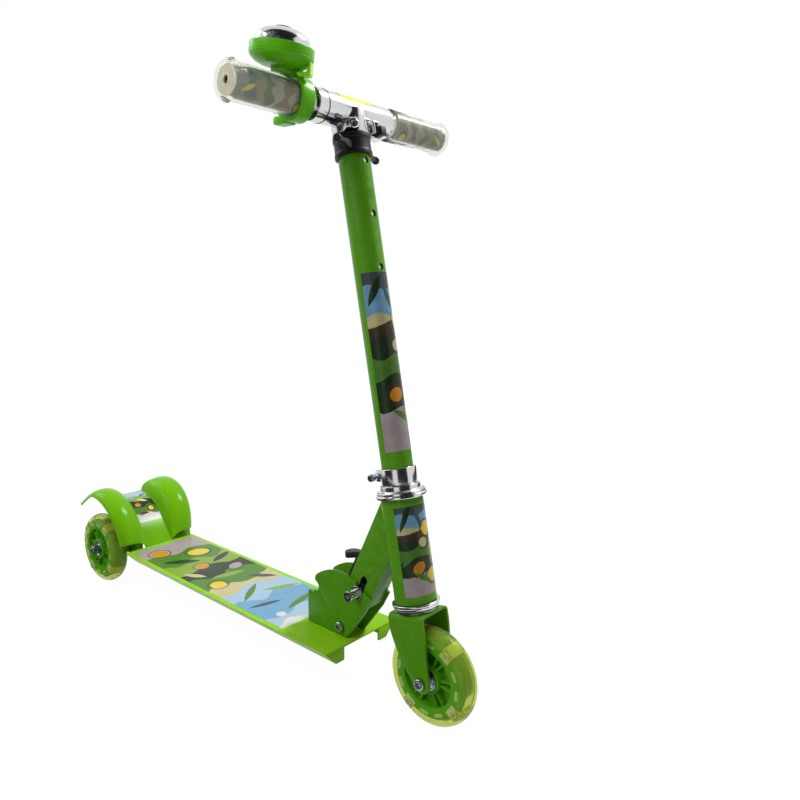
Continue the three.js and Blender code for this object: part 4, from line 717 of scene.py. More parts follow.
def _column_motifs(scale: float) -> tuple[Motif, ...]:
    """The motifs that the two upright sheets share.

    Args:
        scale: How long the sheet is, as a share of the longer one.

    Returns:
        The motifs.
    """
    motifs = (
        *leaf((12.0, 158.0), (18.0, 4.0), PINE, 62.0),
        *leaf((26.0, 150.0), (15.0, 3.5), SLATE, 110.0),
        *rimmed((36.0, 128.0), (7.5, 9.0), YELLOW, BARK, 2.0),
        *leaf((17.0, 116.0), (14.0, 4.0), BARK, 15.0),
        *rimmed((29.0, 103.0), (6.0, 6.0), CREAM, BARK, 2.0),
        *leaf((42.0, 88.0), (20.0, 5.5), LIME, 82.0),
        *leaf((13.0, 80.0), (16.0, 4.0), MEADOW, 40.0),
        *rimmed((20.0, 55.0), (8.0, 7.0), ORANGE, BARK, 2.0, 30.0),
        *rimmed((38.0, 36.0), (8.5, 8.5), YELLOW, BARK, 2.5),
        *leaf((24.0, 34.0), (13.0, 3.5), MEADOW, -30.0),
    )
    flatter = 0.6 + 0.4 * scale
    return tuple(
        Motif(m.shape, (m.centre[0], m.centre[1] * scale), (m.size[0], m.size[1] * flatter), m.colour, m.turn)
        for m in motifs
    )


def _column_bands(scale: float) -> tuple[Band, ...]:
    """The fields of colour that the two upright sheets share, from their foot to their head."""
    bands = (
        Band(40.0, PINE, 3.0, 40.0, 0.5),
        Band(72.0, MEADOW, 4.0, 50.0, 1.5),
        Band(92.0, PINE, 3.0, 36.0, 0.0),
        Band(110.0, BARK, 3.0, 42.0, 2.0),
        Band(124.0, CREAM, 3.0, 48.0, 1.0),
        Band(132.0, SKY, 3.0, 46.0, 3.0),
        Band(160.0, SLATE, 3.0, 38.0, 4.0),
    )
    return tuple(
        Band(band.start * scale, band.colour, band.rise * scale, band.length, band.phase) for band in bands
    )


COLUMN_PRINT = Print(
    "column print", LILAC, _column_bands(1.0), _column_motifs(1.0), size=(50.0, 175.0), dusk=0.3
)
HEAD_TUBE_PRINT = Print(
    "head tube print", LILAC, _column_bands(0.5), _column_motifs(0.5), size=(62.0, 88.0), dusk=0.3
)
SADDLE_PRINT = Print(
    "saddle print",
    (0.62, 0.58, 0.58),
    (
        Band(12.0, MEADOW, 2.0, 22.0, 0.4),
        Band(26.0, PINE, 2.5, 18.0, 1.4),
        Band(38.0, LIME, 2.0, 25.0, 2.5),
        Band(48.0, PALE_SKY, 1.5, 30.0, 0.0),
    ),
    (
        *rimmed((9.0, 20.0), (4.0, 4.0), YELLOW, BARK, 1.4),
        *rimmed((25.0, 30.0), (4.6, 3.8), ORANGE, BARK, 1.6),
        *leaf((14.0, 38.0), (8.0, 2.4), WHITE, 30.0),
        *disc((27.0, 46.0), (3.6, 3.6), LILAC),
        *leaf((8.0, 50.0), (7.0, 2.0), SLATE, -20.0),
        *leaf((22.0, 14.0), (7.0, 2.0), BARK, 12.0),
    ),
    size=(35.0, 62.0),
    dusk=0.08,
)
GRIP_PRINT = Print(
    "grip print",
    (0.30, 0.27, 0.20),
    (
        Band(9.0, (0.17, 0.21, 0.16), 3.0, 24.0, 0.5),
        Band(17.0, (0.36, 0.33, 0.24), 2.0, 16.0, 2.0),
        Band(24.0, (0.20, 0.12, 0.10), 4.0, 19.0, 1.8),
        Band(35.0, (0.33, 0.31, 0.25), 3.0, 24.0, 0.0),
        Band(43.0, (0.10, 0.16, 0.06), 3.0, 17.0, 2.6),
        Band(52.0, (0.26, 0.22, 0.13), 2.0, 15.0, 1.0),
        Band(61.0, (0.09, 0.17, 0.16), 3.0, 22.0, 3.6),
        Band(71.0, (0.27, 0.26, 0.23), 2.0, 18.0, 1.2),
    ),
    (
        *rimmed((14.0, 14.0), (4.0, 4.0), YELLOW, BARK, 1.6),
        *leaf((52.0, 20.0), (9.0, 2.5), MEADOW, 25.0),
        *leaf((30.0, 12.0), (8.0, 2.2), BARK, -30.0),
        *disc((38.0, 30.0), (4.5, 3.5), ORANGE, 30.0),
        *leaf((70.0, 34.0), (8.0, 2.0), WHITE, -40.0),
        *rimmed((62.0, 50.0), (4.4, 4.4), YELLOW, SLATE, 1.4),
        *leaf((20.0, 46.0), (9.0, 2.2), SLATE, 10.0),
        *leaf((44.0, 45.0), (7.0, 2.0), YELLOW, 70.0),
        *disc((26.0, 62.0), (3.8, 3.8), ORANGE),
        *disc((48.0, 66.0), (3.4, 4.5), LIME),
        *leaf((8.0, 70.0), (8.0, 2.2), YELLOW, 60.0),
        *leaf((72.0, 66.0), (8.0, 2.0), BARK, 20.0),
        Motif(Shape.RING, (34.0, 74.0), (4.0, 4.0), BARK),
    ),
    size=(79.8, 82.0),
    dusk=0.25,
)


@dataclass(frozen=True)
class Strip:
    """A plain coloured strip with a faint border and a slight curl of gloss."""

    name: str
    colour: Colour
    border: Colour
    size: Pair

    def make(self) -> bpy.types.Material:
        """Builds the material."""
        g = Graph(self.name)
        across, along, _ = g.parts(g.sheet_place())
        side = abs(across - 0.5) * self.size[0]
        end = abs(along - 0.5) * self.size[1]
        width = 0.7
        rim = (side - self.size[0] / 2 + width).largest(end - self.size[1] / 2 + width)
        grain = g.noise(g.place(), 300.0, 3.0)
        painted = g.mix((rim * 3.0).clamped(), self.colour, self.border)
        return g.finish(
            {
                "Base Color": g.mix(grain * 0.2, painted, self.border),
                "Roughness": (0.28 + grain * 0.12).clamped(),
                "Specular IOR Level": 0.3,
                "Normal": g.bump(grain, 0.2, 0.04),
            }
        )


YELLOW_STRIP = Strip("yellow strip", (0.88, 0.74, 0.02), (0.66, 0.52, 0.02), size=(12.4, 50.0))

Finish = Enamel | Plate | Moulding | Clear | Print | Strip


# The workbench


def rounded(points: Sequence[Pair], radius: float, steps: int = 4, loop: bool = False) -> list[Pair]:
    """Eases the corners of a line of points.

    Args:
        points: The corners.
        radius: How far from a corner its easing starts.
        steps: Pieces in each eased corner.
        loop: Whether the last point is joined to the first.

    Returns:
        The eased line.
    """
    count = len(points)
    eased: list[Pair] = []
    for index, corner in enumerate(points):
        if not loop and index in (0, count - 1):
            eased.append(corner)
            continue
        here = Vector(corner)
        before = Vector(points[index - 1]) - here
        after = Vector(points[(index + 1) % count]) - here
        reach = min(radius, before.length * 0.48, after.length * 0.48)
        start = here + before.normalized() * reach
        end = here + after.normalized() * reach
        for step in range(steps + 1):
            t = step / steps
            point = start * (1 - t) ** 2 + here * (2 * t * (1 - t)) + end * t**2
            eased.append((point.x, point.y))
    return eased


def arc(centre: Pair, radius: float, start: float, end: float, steps: int = 12) -> list[Pair]:
    """Points along an arc.

    Args:
        centre: The arc's centre.
        radius: Its radius.
        start: Its first angle, in degrees.
        end: Its last angle, in degrees.
        steps: How many pieces it has.

    Returns:
        The points, both ends included.
    """
    angles = [math.radians(start + (end - start) * step / steps) for step in range(steps + 1)]
    return [(centre[0] + radius * math.cos(a), centre[1] + radius * math.sin(a)) for a in angles]


def slot_outline(start: Pair, end: Pair, radius: float, steps: int = 10) -> list[Pair]:
    """The outline of a slot with round ends."""
    angle = math.degrees(math.atan2(end[1] - start[1], end[0] - start[0]))
    return [
        *arc(end, radius, angle - 90, angle + 90, steps),
        *arc(start, radius, angle + 90, angle + 270, steps),
    ]


def mirrored(half: Sequence[Pair]) -> list[Pair]:
    """Half an outline, and after it its mirror image in reverse order."""
    return [*half, *((first, -second) for first, second in reversed(half))]


def shift(x: float = 0.0, y: float = 0.0, z: float = 0.0) -> Matrix:
    """A move."""
    return Matrix.Translation((x, y, z))


def rotation(degrees: float, axis: str = "Z") -> Matrix:
    """A turn about an axis through the origin."""
    return Matrix.Rotation(math.radians(degrees), 4, axis)


MIRROR = Matrix.Scale(-1.0, 4, (0.0, 1.0, 0.0))


def raised(plane: Plane, point: Pair, height: float) -> Point:
    """A point of an outline, at a height across the outline's plane."""
    first, second = point
    if plane is Plane.XZ:
        return (first, height, second)
    if plane is Plane.YZ:
        return (height, first, second)
    return (first, second, height)


class Workbench:
    """Starts, shapes and finishes meshes with the tools that a modeller uses by hand."""

    def __init__(self, frame: Mapping[str, Any]) -> None:
        """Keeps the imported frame.
        """
        self.frame = frame
        self.materials: dict[str, bpy.types.Material] = {}
        self.pieces = 0

    def clear(self) -> None:
        """Leaves edit mode and deselects everything."""
        if bpy.context.mode != "OBJECT":
            bpy.ops.object.mode_set(mode="OBJECT")
        bpy.ops.object.select_all(action="DESELECT")

    def hold(self, *pieces: Piece) -> None:
        """Selects pieces and makes the first one active."""
        self.clear()
        for piece in pieces:
            piece.select_set(True)
        bpy.context.view_layer.objects.active = pieces[0]

    def chain(self, name: str, points: Sequence[Point], closed: bool = True) -> Piece:
        """Lays a circle primitive's vertices along a line of points.

        Args:
            name: The piece's name.
            points: Where the vertices go.
            closed: Whether the last point stays joined to the first.

        Returns:
            A piece made of edges only.
        """
        self.clear()
        bpy.ops.mesh.primitive_circle_add(vertices=len(points), radius=1.0, fill_type="NOTHING")
        piece = bpy.context.object
        piece.name = piece.data.name = name
        for vertex, place in zip(piece.data.vertices, points):
            vertex.co = place
        if not closed:
            ends = {0, len(points) - 1}
            bpy.ops.object.mode_set(mode="EDIT")
            bpy.ops.mesh.select_mode(type="EDGE")
            bpy.ops.mesh.select_all(action="DESELECT")
            mesh = bmesh.from_edit_mesh(piece.data)
            for edge in mesh.edges:
                edge.select_set({vertex.index for vertex in edge.verts} == ends)
            bmesh.update_edit_mesh(piece.data)
            bpy.ops.mesh.delete(type="EDGE")
            bpy.ops.mesh.select_mode(type="VERT")
            bpy.ops.object.mode_set(mode="OBJECT")
        return piece

    def recalculate(self, piece: Piece) -> Piece:
        """Merges doubles and turns the faces outwards."""
        self.hold(piece)
        bpy.ops.object.mode_set(mode="EDIT")
        bpy.ops.mesh.select_all(action="SELECT")
        bpy.ops.mesh.remove_doubles(threshold=MERGE)
        bpy.ops.mesh.normals_make_consistent(inside=False)
        bpy.ops.object.mode_set(mode="OBJECT")
        return piece

    def spun(self, name: str, profile: Sequence[Pair], steps: int = FINE, axis: Axis = Axis.Z) -> Piece:
        """Spins a profile of (radius, along) once round an axis.

        Args:
            name: The piece's name.
            profile: A closed loop, or a line from the axis back to the axis.
            steps: Steps in the full turn.
            axis: The axis.

        Returns:
            The closed solid.
        """
        solid = abs(profile[0][0]) < MERGE and abs(profile[-1][0]) < MERGE
        upright = axis is Axis.Z
        points = [(r, 0.0, s) if upright else (r, s, 0.0) for r, s in profile]
        piece = self.chain(name, points, not solid)
        bpy.ops.object.mode_set(mode="EDIT")
        bpy.ops.mesh.select_all(action="SELECT")
        bpy.ops.mesh.spin(steps=steps, angle=math.tau, center=(0, 0, 0), axis=axis.value)
        bpy.ops.object.mode_set(mode="OBJECT")
        return self.recalculate(piece)

    def tube(
        self, name: str, radii: Pair, ends: Pair, steps: int = FINE, axis: Axis = Axis.Z, ease: float = 0.4
    ) -> Piece:
        """A tube with eased rims.

        Args:
            name: The piece's name.
            radii: Outer and inner radius.
            ends: Where it starts and ends along its axis.
            steps: Steps in the full turn.
            axis: Its axis.
            ease: The size of its eased rims.

        Returns:
            The tube.
        """
        outer, inner = radii
        low, high = ends
        corners = [(inner, low), (outer, low), (outer, high), (inner, high)]
        return self.spun(name, rounded(corners, ease, 3, True), steps, axis)

    def rod(
        self, name: str, radius: float, ends: Pair, steps: int = SMALL, axis: Axis = Axis.Z, ease: float = 0.4
    ) -> Piece:
        """A rod with eased ends."""
        low, high = ends
        profile = rounded([(0.0, low), (radius, low), (radius, high), (0.0, high)], ease, 3)
        return self.spun(name, profile, steps, axis)

    def plate(
        self, name: str, outline: Sequence[Pair], ends: Pair, plane: Plane = Plane.XZ, ease: float = 0.0
    ) -> Piece:
        """Fills an outline and extrudes it across its plane.

        Args:
            name: The piece's name.
            outline: The corners, in order.
            ends: The heights that the solid starts and ends at, across the plane.
            plane: The outline's plane.
            ease: The width of the bevel on its edges.

        Returns:
            The solid.
        """
        low, high = ends
        piece = self.chain(name, [raised(plane, point, low) for point in outline])
        bpy.ops.object.mode_set(mode="EDIT")
        bpy.ops.mesh.select_all(action="SELECT")
        bpy.ops.mesh.edge_face_add()
        offset = raised(plane, (0.0, 0.0), high - low)
        bpy.ops.mesh.extrude_region_move(TRANSFORM_OT_translate={"value": offset})
        bpy.ops.object.mode_set(mode="OBJECT")
        self.recalculate(piece)
        return self.bevelled(piece, ease) if ease else piece

    def block(self, name: str, low: Point, high: Point, ease: float = 0.0) -> Piece:
        """A block between two corners, with bevelled edges."""
        size = [b - a for a, b in zip(low, high)]
        middle = [(a + b) / 2 for a, b in zip(low, high)]
        self.clear()
        bpy.ops.mesh.primitive_cube_add(size=1.0, location=middle, scale=size)
        piece = bpy.context.object
        piece.name = piece.data.name = name
        bpy.ops.object.transform_apply(location=True, rotation=True, scale=True)
        return self.bevelled(piece, ease) if ease else piece

    def sheet(
        self,
        name: str,
        grid: tuple[int, int],
        surface: Callable[[float, float], Point],
        thickness: float,
    ) -> Piece:
        """Lays a grid over a surface and thickens it outwards.

        Args:
            name: The piece's name.
            grid: Cells across and along.
            surface: Gives the point at two shares from 0 to 1. Across times along points outwards.
            thickness: The sheet's thickness, inwards where it is negative.

        Returns:
            The closed sheet.
        """
        self.clear()
        bpy.ops.mesh.primitive_grid_add(x_subdivisions=grid[0], y_subdivisions=grid[1], size=2.0)
        piece = bpy.context.object
        piece.name = piece.data.name = name
        for vertex in piece.data.vertices:
            vertex.co = surface((vertex.co.x + 1) / 2, (vertex.co.y + 1) / 2)
        settings = {
            "thickness": abs(thickness),
            "offset": math.copysign(1.0, thickness),
            "use_even_offset": True,
        }
        return self.modified(piece, "SOLIDIFY", settings)

    def modified(self, piece: Piece, kind: str, settings: Mapping[str, Any]) -> Piece:
        """Adds a modifier, sets it up and applies it.

        Args:
            piece: The piece.
            kind: The modifier's type.
            settings: Its properties.

        Returns:
            The same piece.
        """
        self.hold(piece)
        bpy.ops.object.modifier_add(type=kind)
        modifier = piece.modifiers[-1]
        for key, value in settings.items():
            setattr(modifier, key, value)
        bpy.ops.object.modifier_apply(modifier=modifier.name)
        return piece

    def bevelled(self, piece: Piece, width: float, segments: int = 3, angle: float = 32.0) -> Piece:
        """Rounds the sharp edges."""
        settings = {
            "width": width,
            "segments": segments,
            "limit_method": "ANGLE",
            "angle_limit": math.radians(angle),
            "use_clamp_overlap": True,
            "miter_outer": "MITER_ARC",
        }
        return self.modified(piece, "BEVEL", settings)

    def _combined(self, piece: Piece, operation: str, others: Sequence[Piece]) -> Piece:
        """Runs one boolean for each of the others, and removes them."""
        for other in others:
            settings = {"operation": operation, "object": other, "solver": "EXACT"}
            self.modified(piece, "BOOLEAN", settings)
            bpy.data.objects.remove(other, do_unlink=True)
        return piece

    def cut(self, piece: Piece, *tools: Piece) -> Piece:
        """Cuts tools out of a piece."""
        return self._combined(piece, "DIFFERENCE", tools)

    def united(self, piece: Piece, *others: Piece) -> Piece:
        """Makes one solid of several."""
        return self._combined(piece, "UNION", others)

    def met(self, piece: Piece, other: Piece) -> Piece:
        """Keeps what two solids share."""
        return self._combined(piece, "INTERSECT", [other])

    def joined(self, name: str, *pieces: Piece) -> Piece:
        """Puts several closed shells into one piece."""
        self.hold(*pieces)
        bpy.ops.object.join()
        piece = bpy.context.object
        piece.name = piece.data.name = name
        return piece

    def moved(self, piece: Piece, matrix: Matrix) -> Piece:
        """Moves a piece's mesh, and turns its faces outwards again after a mirror."""
        piece.data.transform(matrix)
        return self.recalculate(piece) if matrix.determinant() < 0 else piece

    def copied(self, piece: Piece, name: str) -> Piece:
        """A copy with its own mesh."""
        self.hold(piece)
        bpy.ops.object.duplicate()
        copy = bpy.context.object
        copy.name = copy.data.name = name
        return copy

    def refined(self, name: str, node: str, width: float, segments: int = 3) -> Piece:
        """A merged copy of a CAD node with rounded edges, in millimetres.

        Args:
            name: The copy's name.
            node: The node.
            width: The bevel's width.
            segments: The bevel's segments.

        Returns:
            The copy, in the scooter's frame.
        """
        self.clear()
        mesh = self.frame["nodes"][node].data.copy()
        mesh.materials.clear()
        piece = bpy.data.objects.new(name, mesh)
        bpy.context.scene.collection.objects.link(piece)
        piece.data.name = name
        piece.data.transform(Matrix.Scale(1 / MILLIMETRE, 4))
        self.recalculate(piece)
        bpy.ops.object.mode_set(mode="EDIT")
        bpy.ops.mesh.select_all(action="SELECT")
        bpy.ops.mesh.dissolve_limited(angle_limit=math.radians(0.5))
        bpy.ops.object.mode_set(mode="OBJECT")
        return self.bevelled(piece, width, segments)

    def material(self, finish: Finish) -> bpy.types.Material:
        """The material of a finish, made once."""
        if finish.name not in self.materials:
            self.materials[finish.name] = finish.make()
        return self.materials[finish.name]

    def done(
        self,
        piece: Piece,
        finish: Finish,
        body: Body,
        slot: Slot,
        nodes: Sequence[str] = (),
        frame: Matrix | None = None,
        angle: float = 34.0,
    ) -> Piece:
        """Brings a piece to metres and to its place, and dresses it.

        Args:
            piece: The piece, in millimetres.
            finish: Its finish.
            body: The body that it rides on.
            slot: Its material slot in the record. Not used.
            nodes: The CAD nodes that it stands for.
            frame: The frame that it was built in.
            angle: Edges sharper than this stay sharp.

        Returns:
            The finished piece.
        """
        self.moved(piece, Matrix.Scale(MILLIMETRE, 4) @ (frame or Matrix.Identity(4)))
        self.hold(piece)
        bpy.ops.object.shade_smooth_by_angle(angle=math.radians(angle))
        piece.data.materials.clear()
        piece.data.materials.append(self.material(finish))
        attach(piece, body.value)
        if nodes:
            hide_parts(*nodes)
        self.pieces += 1
        LOG.info("%s: %d faces, rides on %s", piece.name, len(piece.data.polygons), body.value)
        return piece

    def dress(self, finish: Finish, *nodes: str) -> None:
        """Gives CAD nodes that stay in view a finish."""
        for node in nodes:
            piece = self.frame["nodes"][node]
            piece.data.materials.clear()
            piece.data.materials.append(self.material(finish))
            LOG.info("%s keeps its CAD shape", node)


# Frames

FRONT_AXLE_X = 291.5
AXLE_HEIGHT = 50.0
RAKE = 11.24
AXLE_LEAD = 9.0
NECK_LEAN = 26.0
BELL_LEAN = 20.0
BELL_PLACE = -67.0
PIVOT = (175.1, 67.5)
REAR_AXLE_X = -285.0
DECK_TOP = 56.7
DECK_REAR_X = -221.5
DECK_FRONT_X = 193.1
BAR_ALONG = 559.6


def leaning(x: float, z: float, degrees: float) -> Matrix:
    """A frame at a place in the middle plane, turned about Y."""
    return shift(x, 0.0, z) @ rotation(degrees, "Y")


COLUMN = leaning(
    FRONT_AXLE_X - AXLE_LEAD * math.cos(math.radians(RAKE)),
    AXLE_HEIGHT - AXLE_LEAD * math.sin(math.radians(RAKE)),
    -RAKE,
)
NECK = leaning(PIVOT[0], PIVOT[1], NECK_LEAN)
BAR = COLUMN @ shift(z=BAR_ALONG)
BELL = COLUMN @ shift(0.0, BELL_PLACE, BAR_ALONG) @ rotation(BELL_LEAN, "Y")


# Sub-assemblies


def ring_of(bench: Workbench, name: str, piece: Piece, angles: Sequence[float]) -> Piece:
    """Sets a piece and its copies round the Y axis, and joins them.

    Args:
        bench: The workbench.
        name: The ring's name.
        piece: The piece, which goes to the first angle.
        angles: The angles, in degrees.

    Returns:
        The ring.
    """
    made = [piece]
    for angle in angles[1:]:
        made.append(bench.moved(bench.copied(piece, piece.name), rotation(-angle, "Y")))
    bench.moved(piece, rotation(-angles[0], "Y"))
    return bench.joined(name, *made)


@dataclass
class Wheel:
    """A clear tyre cast over a ribbed core, with lamps in it and two bearings."""

    radius: float = 50.0
    half_width: float = 12.0
    shoulder: float = 40.0
    band_edge: float = 38.2
    band_outer: float = 42.3
    band_half: float = 10.8
    band_flat: float = 5.0
    rim_inner: float = 28.8
    hub: float = 14.5
    hub_half: float = 11.0
    seat: float = 11.3
    sleeve: float = 9.5
    sleeve_half: float = 3.9
    web_half: float = 1.3
    rib_pairs: int = 6
    rib_spread: float = 18.0
    rib_half: float = 0.9
    rib_reach: float = 8.0
    lug_circle: float = 35.6
    lug_half: float = 3.6
    lug_radius: float = 1.9
    lug_angles: tuple[float, ...] = (-5.0, 25.0, 85.0, 115.0, 175.0, 205.0, 265.0, 295.0)
    lamp_angles: tuple[float, ...] = (55.0, 145.0, 235.0, 325.0)
    lamp_half: float = 6.2
    lamp_foot: float = 33.2
    lamp_flat: float = 40.0
    lamp_tip: Pair = (45.0, 9.7)
    coil_circle: float = 39.8
    coil: Pair = (4.0, 2.3)
    shield_depth: float = 0.7
    bearing_width: float = 6.8
    places: tuple[tuple[Body, Point], ...] = (
        (Body.FRONT_WHEEL, (FRONT_AXLE_X, 0.0, AXLE_HEIGHT)),
        (Body.REAR_WHEEL_RIGHT, (REAR_AXLE_X, -51.9, AXLE_HEIGHT)),
        (Body.REAR_WHEEL_LEFT, (REAR_AXLE_X, 51.9, AXLE_HEIGHT)),
    )

    def tyre(self, bench: Workbench) -> Piece:
        """The tyre: a round crown between two flat sides, hollow where the band lies."""
        crown = self.radius - self.shoulder
        half = [
            (self.band_outer + GAP, self.band_flat),
            (self.band_edge + GAP, self.band_half),
            (self.shoulder + 0.2, self.half_width),
        ]
        crest = [
            (self.shoulder + crown * math.cos(a), self.half_width * math.sin(a))
            for a in (math.radians(80 - 160 * step / 20) for step in range(21))
        ]
        lower = [(r, -y) for r, y in reversed(half)]
        return bench.spun("tyre", rounded([*half, *crest, *lower], 0.5, 2, True), FINE, Axis.Y)

    def core(self, bench: Workbench) -> Piece:
        """The hub, web and rim, with a band that the tyre is cast round."""
        lower = [
            (self.seat, -self.hub_half),
            (self.hub, -self.hub_half),
            (self.hub + 0.6, -self.web_half),
            (self.rim_inner - 0.4, -self.web_half),
            (self.rim_inner, -self.band_half),
            (self.band_edge, -self.band_half),
            (self.band_outer - 1.0, -8.0),
            (self.band_outer, -self.band_flat),
        ]
        bore = mirrored([(self.seat, self.sleeve_half), (self.sleeve, self.sleeve_half)])
        core = bench.spun("core", rounded([*mirrored(lower), *bore], 0.5, 3, True), FINE, Axis.Y)
        ribs = [core]
        low = (self.hub - 1.0, -self.rib_reach, -self.rib_half)
        high = (self.rim_inner + 1.0, self.rib_reach, self.rib_half)
        for pair in range(self.rib_pairs):
            for side in (-0.5, 0.5):
                turn = math.tau * pair / self.rib_pairs + math.radians(self.rib_spread) * side
                rib = bench.block("rib", low, high, 0.4)
                ribs.append(bench.moved(rib, Matrix.Rotation(turn, 4, "Y")))
        return bench.joined("core", *ribs)

    def lug_ring(self, bench: Workbench) -> Piece:
        """The short lugs of clear plastic that lock the tyre to the band."""
        ends = (self.lug_circle, -self.lug_half), (self.lug_circle, self.lug_half)
        reach = self.band_half + 0.15
        outline = slot_outline(*ends, self.lug_radius, 6)
        lug = bench.plate("lug", outline, (-reach, reach), Plane.XZ, 0.3)
        return ring_of(bench, "lugs", lug, self.lug_angles)

    def lamps(self, bench: Workbench) -> Piece:
        """Four lamp modules, each a pale block with a round coil on both faces."""
        side = self.lamp_half
        out = self.band_half + 0.3
        outline = mirrored([(self.lamp_foot, out), (self.lamp_flat, out), self.lamp_tip])
        housing = bench.plate("lamp", rounded(outline, 0.8, 3, True), (-side, side), Plane.XY, 0.6)
        coil = bench.tube("coil", self.coil, (-out - 0.8, out + 0.8), SMALL, Axis.Y, 0.3)
        bench.moved(coil, shift(self.coil_circle))
        return ring_of(bench, "lamps", bench.joined("lamp", housing, coil), self.lamp_angles)

    def bearings(self, bench: Workbench) -> Piece:
        """Two bearings with shields, and the sleeve between them."""
        face = -self.hub_half
        shield = face + self.shield_depth
        back = face + self.bearing_width
        half = [
            (4.3, face), (6.6, face), (6.9, shield), (9.5, shield), (9.8, face), (11.0, face),
            (11.0, back), (6.0, back),
        ]
        return bench.spun("bearings", rounded(mirrored(half), 0.25, 2, True), PLAIN, Axis.Y)

    def build(self, bench: Workbench) -> None:
        """Models one wheel and copies it to its three places."""
        sources = (
            (self.tyre(bench), TYRE, Slot.CLEAR_TYRE, "tyre"),
            (self.core(bench), CORE_GREEN, Slot.GREEN_PLASTIC, "core"),
            (self.lug_ring(bench), LUG_PALE, Slot.CLEAR_TYRE, ""),
            (self.lamps(bench), LAMP_PALE, Slot.CLEAR_TYRE, ""),
            (self.bearings(bench), ZINC, Slot.ZINC, "bearings"),
        )
        for source, finish, slot, node in sources:
            for body, place in self.places:
                copy = bench.copied(source, f"{body.value}.{source.name}")
                nodes = [f"{body.value}_{node}"] if node else []
                bench.done(copy, finish, body, slot, nodes, shift(*place))
            bpy.data.objects.remove(source, do_unlink=True)


@dataclass
class Fasteners:
    """Bolts and nuts of the folding joint and the axles."""

    chamfer: float = 0.9
    socket: float = 2.6
    nut: float = 7.0
    small_nut: float = 5.8
    bolt_head: float = 5.6
    head_height: float = 4.0
    axle: float = 4.0
    axle_bore: float = 4.1
    rear_face: float = 64.2
    rear_head: float = 5.5

    def hexagon(self, bench: Workbench, name: str, radius: float, ends: Pair, bore: float = 0.0) -> Piece:
        """A hexagon along Y with chamfered corners and a bore.

        Args:
            bench: The workbench.
            name: Its name.
            radius: Its radius over the corners.
            ends: Where it starts and ends.
            bore: The bore's radius, or 0 for a solid one.

        Returns:
            The hexagon.
        """
        low, high = ends
        prism = bench.plate(name, arc((0.0, 0.0), radius, 0.0, 300.0, HEX - 1), ends)
        flat = radius - self.chamfer * 1.4
        wide = radius + 0.1
        barrel = [
            (0.0, low), (flat, low), (wide, low + self.chamfer), (wide, high - self.chamfer),
            (flat, high), (0.0, high),
        ]
        bench.met(prism, bench.spun("barrel", barrel, PLAIN, Axis.Y))
        if bore:
            bench.cut(prism, bench.rod("bore", bore, (low - OVERRUN, high + OVERRUN), SMALL, Axis.Y))
        return bench.bevelled(prism, 0.15, 2)

    def cap_screw(
        self, bench: Workbench, name: str, radius: float, head: float, ends: Pair, height: float
    ) -> Piece:
        """A screw along Y with a round socket head at its right end.

        Args:
            bench: The workbench.
            name: Its name.
            radius: The shank's radius.
            head: The head's radius.
            ends: The head's inner face and the shank's far end.
            height: The head's height.

        Returns:
            The screw.
        """
        face, far = ends
        top = face - height
        profile = [
            (0.0, top), (head - 0.8, top), (head, top + 1.0), (head, face), (radius, face),
            (radius, far), (0.0, far),
        ]
        screw = bench.spun(name, rounded(profile, 0.5, 4), PLAIN, Axis.Y)
        corners = arc((0.0, 0.0), self.socket, 0.0, 300.0, HEX - 1)
        bench.cut(screw, bench.plate("socket", corners, (top - 2.0, top + 2.4)))
        return bench.bevelled(screw, 0.12, 2)

    def build(self, bench: Workbench) -> None:
        """Builds the axles, the pivot and their nuts."""
        rear = shift(REAR_AXLE_X, 0.0, AXLE_HEIGHT)
        front = shift(FRONT_AXLE_X, 0.0, AXLE_HEIGHT)
        pivot = shift(PIVOT[0], 0.0, PIVOT[1])
        outer = self.rear_face
        head, height = self.bolt_head, self.head_height
        shank = bench.rod("shank", self.axle, (-73.4, outer + 2.0), PLAIN, Axis.Y, 0.8)
        block = self.hexagon(bench, "head", self.nut, (outer, outer + self.rear_head))
        axle = bench.joined("rear.axle", shank, block)
        bench.done(axle, ZINC, Body.DECK, Slot.ZINC, ["rear_axle"], rear)
        nut = self.hexagon(bench, "rear.nut", self.nut, (-71.0, -outer), self.axle_bore)
        bench.done(nut, ZINC, Body.DECK, Slot.ZINC, ["rear_axle_nut"], rear)
        bolt = self.cap_screw(bench, "pivot.bolt", 3.0, head, (-15.1, 20.4), height)
        bench.done(bolt, ZINC, Body.DECK, Slot.ZINC, ["pivot_bolt"], pivot)
        nut = self.hexagon(bench, "pivot.nut", self.small_nut, (15.1, 20.1), bore=3.1)
        bench.done(nut, ZINC, Body.DECK, Slot.ZINC, ["pivot_nut"], pivot)
        bolt = self.cap_screw(bench, "front.axle", self.axle, head, (-20.8, 30.0), height)
        bench.done(bolt, ZINC, Body.FORK, Slot.ZINC, ["front_axle_bolt"], front)
        nut = self.hexagon(bench, "front.nut", self.nut, (20.8, 27.6), self.axle_bore)
        bench.done(nut, ZINC, Body.FORK, Slot.ZINC, ["front_axle_nut"], front)
        bench.dress(ZINC, "front_spacer_right", "front_spacer_left")
        bench.dress(ZINC, "fender_screw_front", "fender_screw_rear")


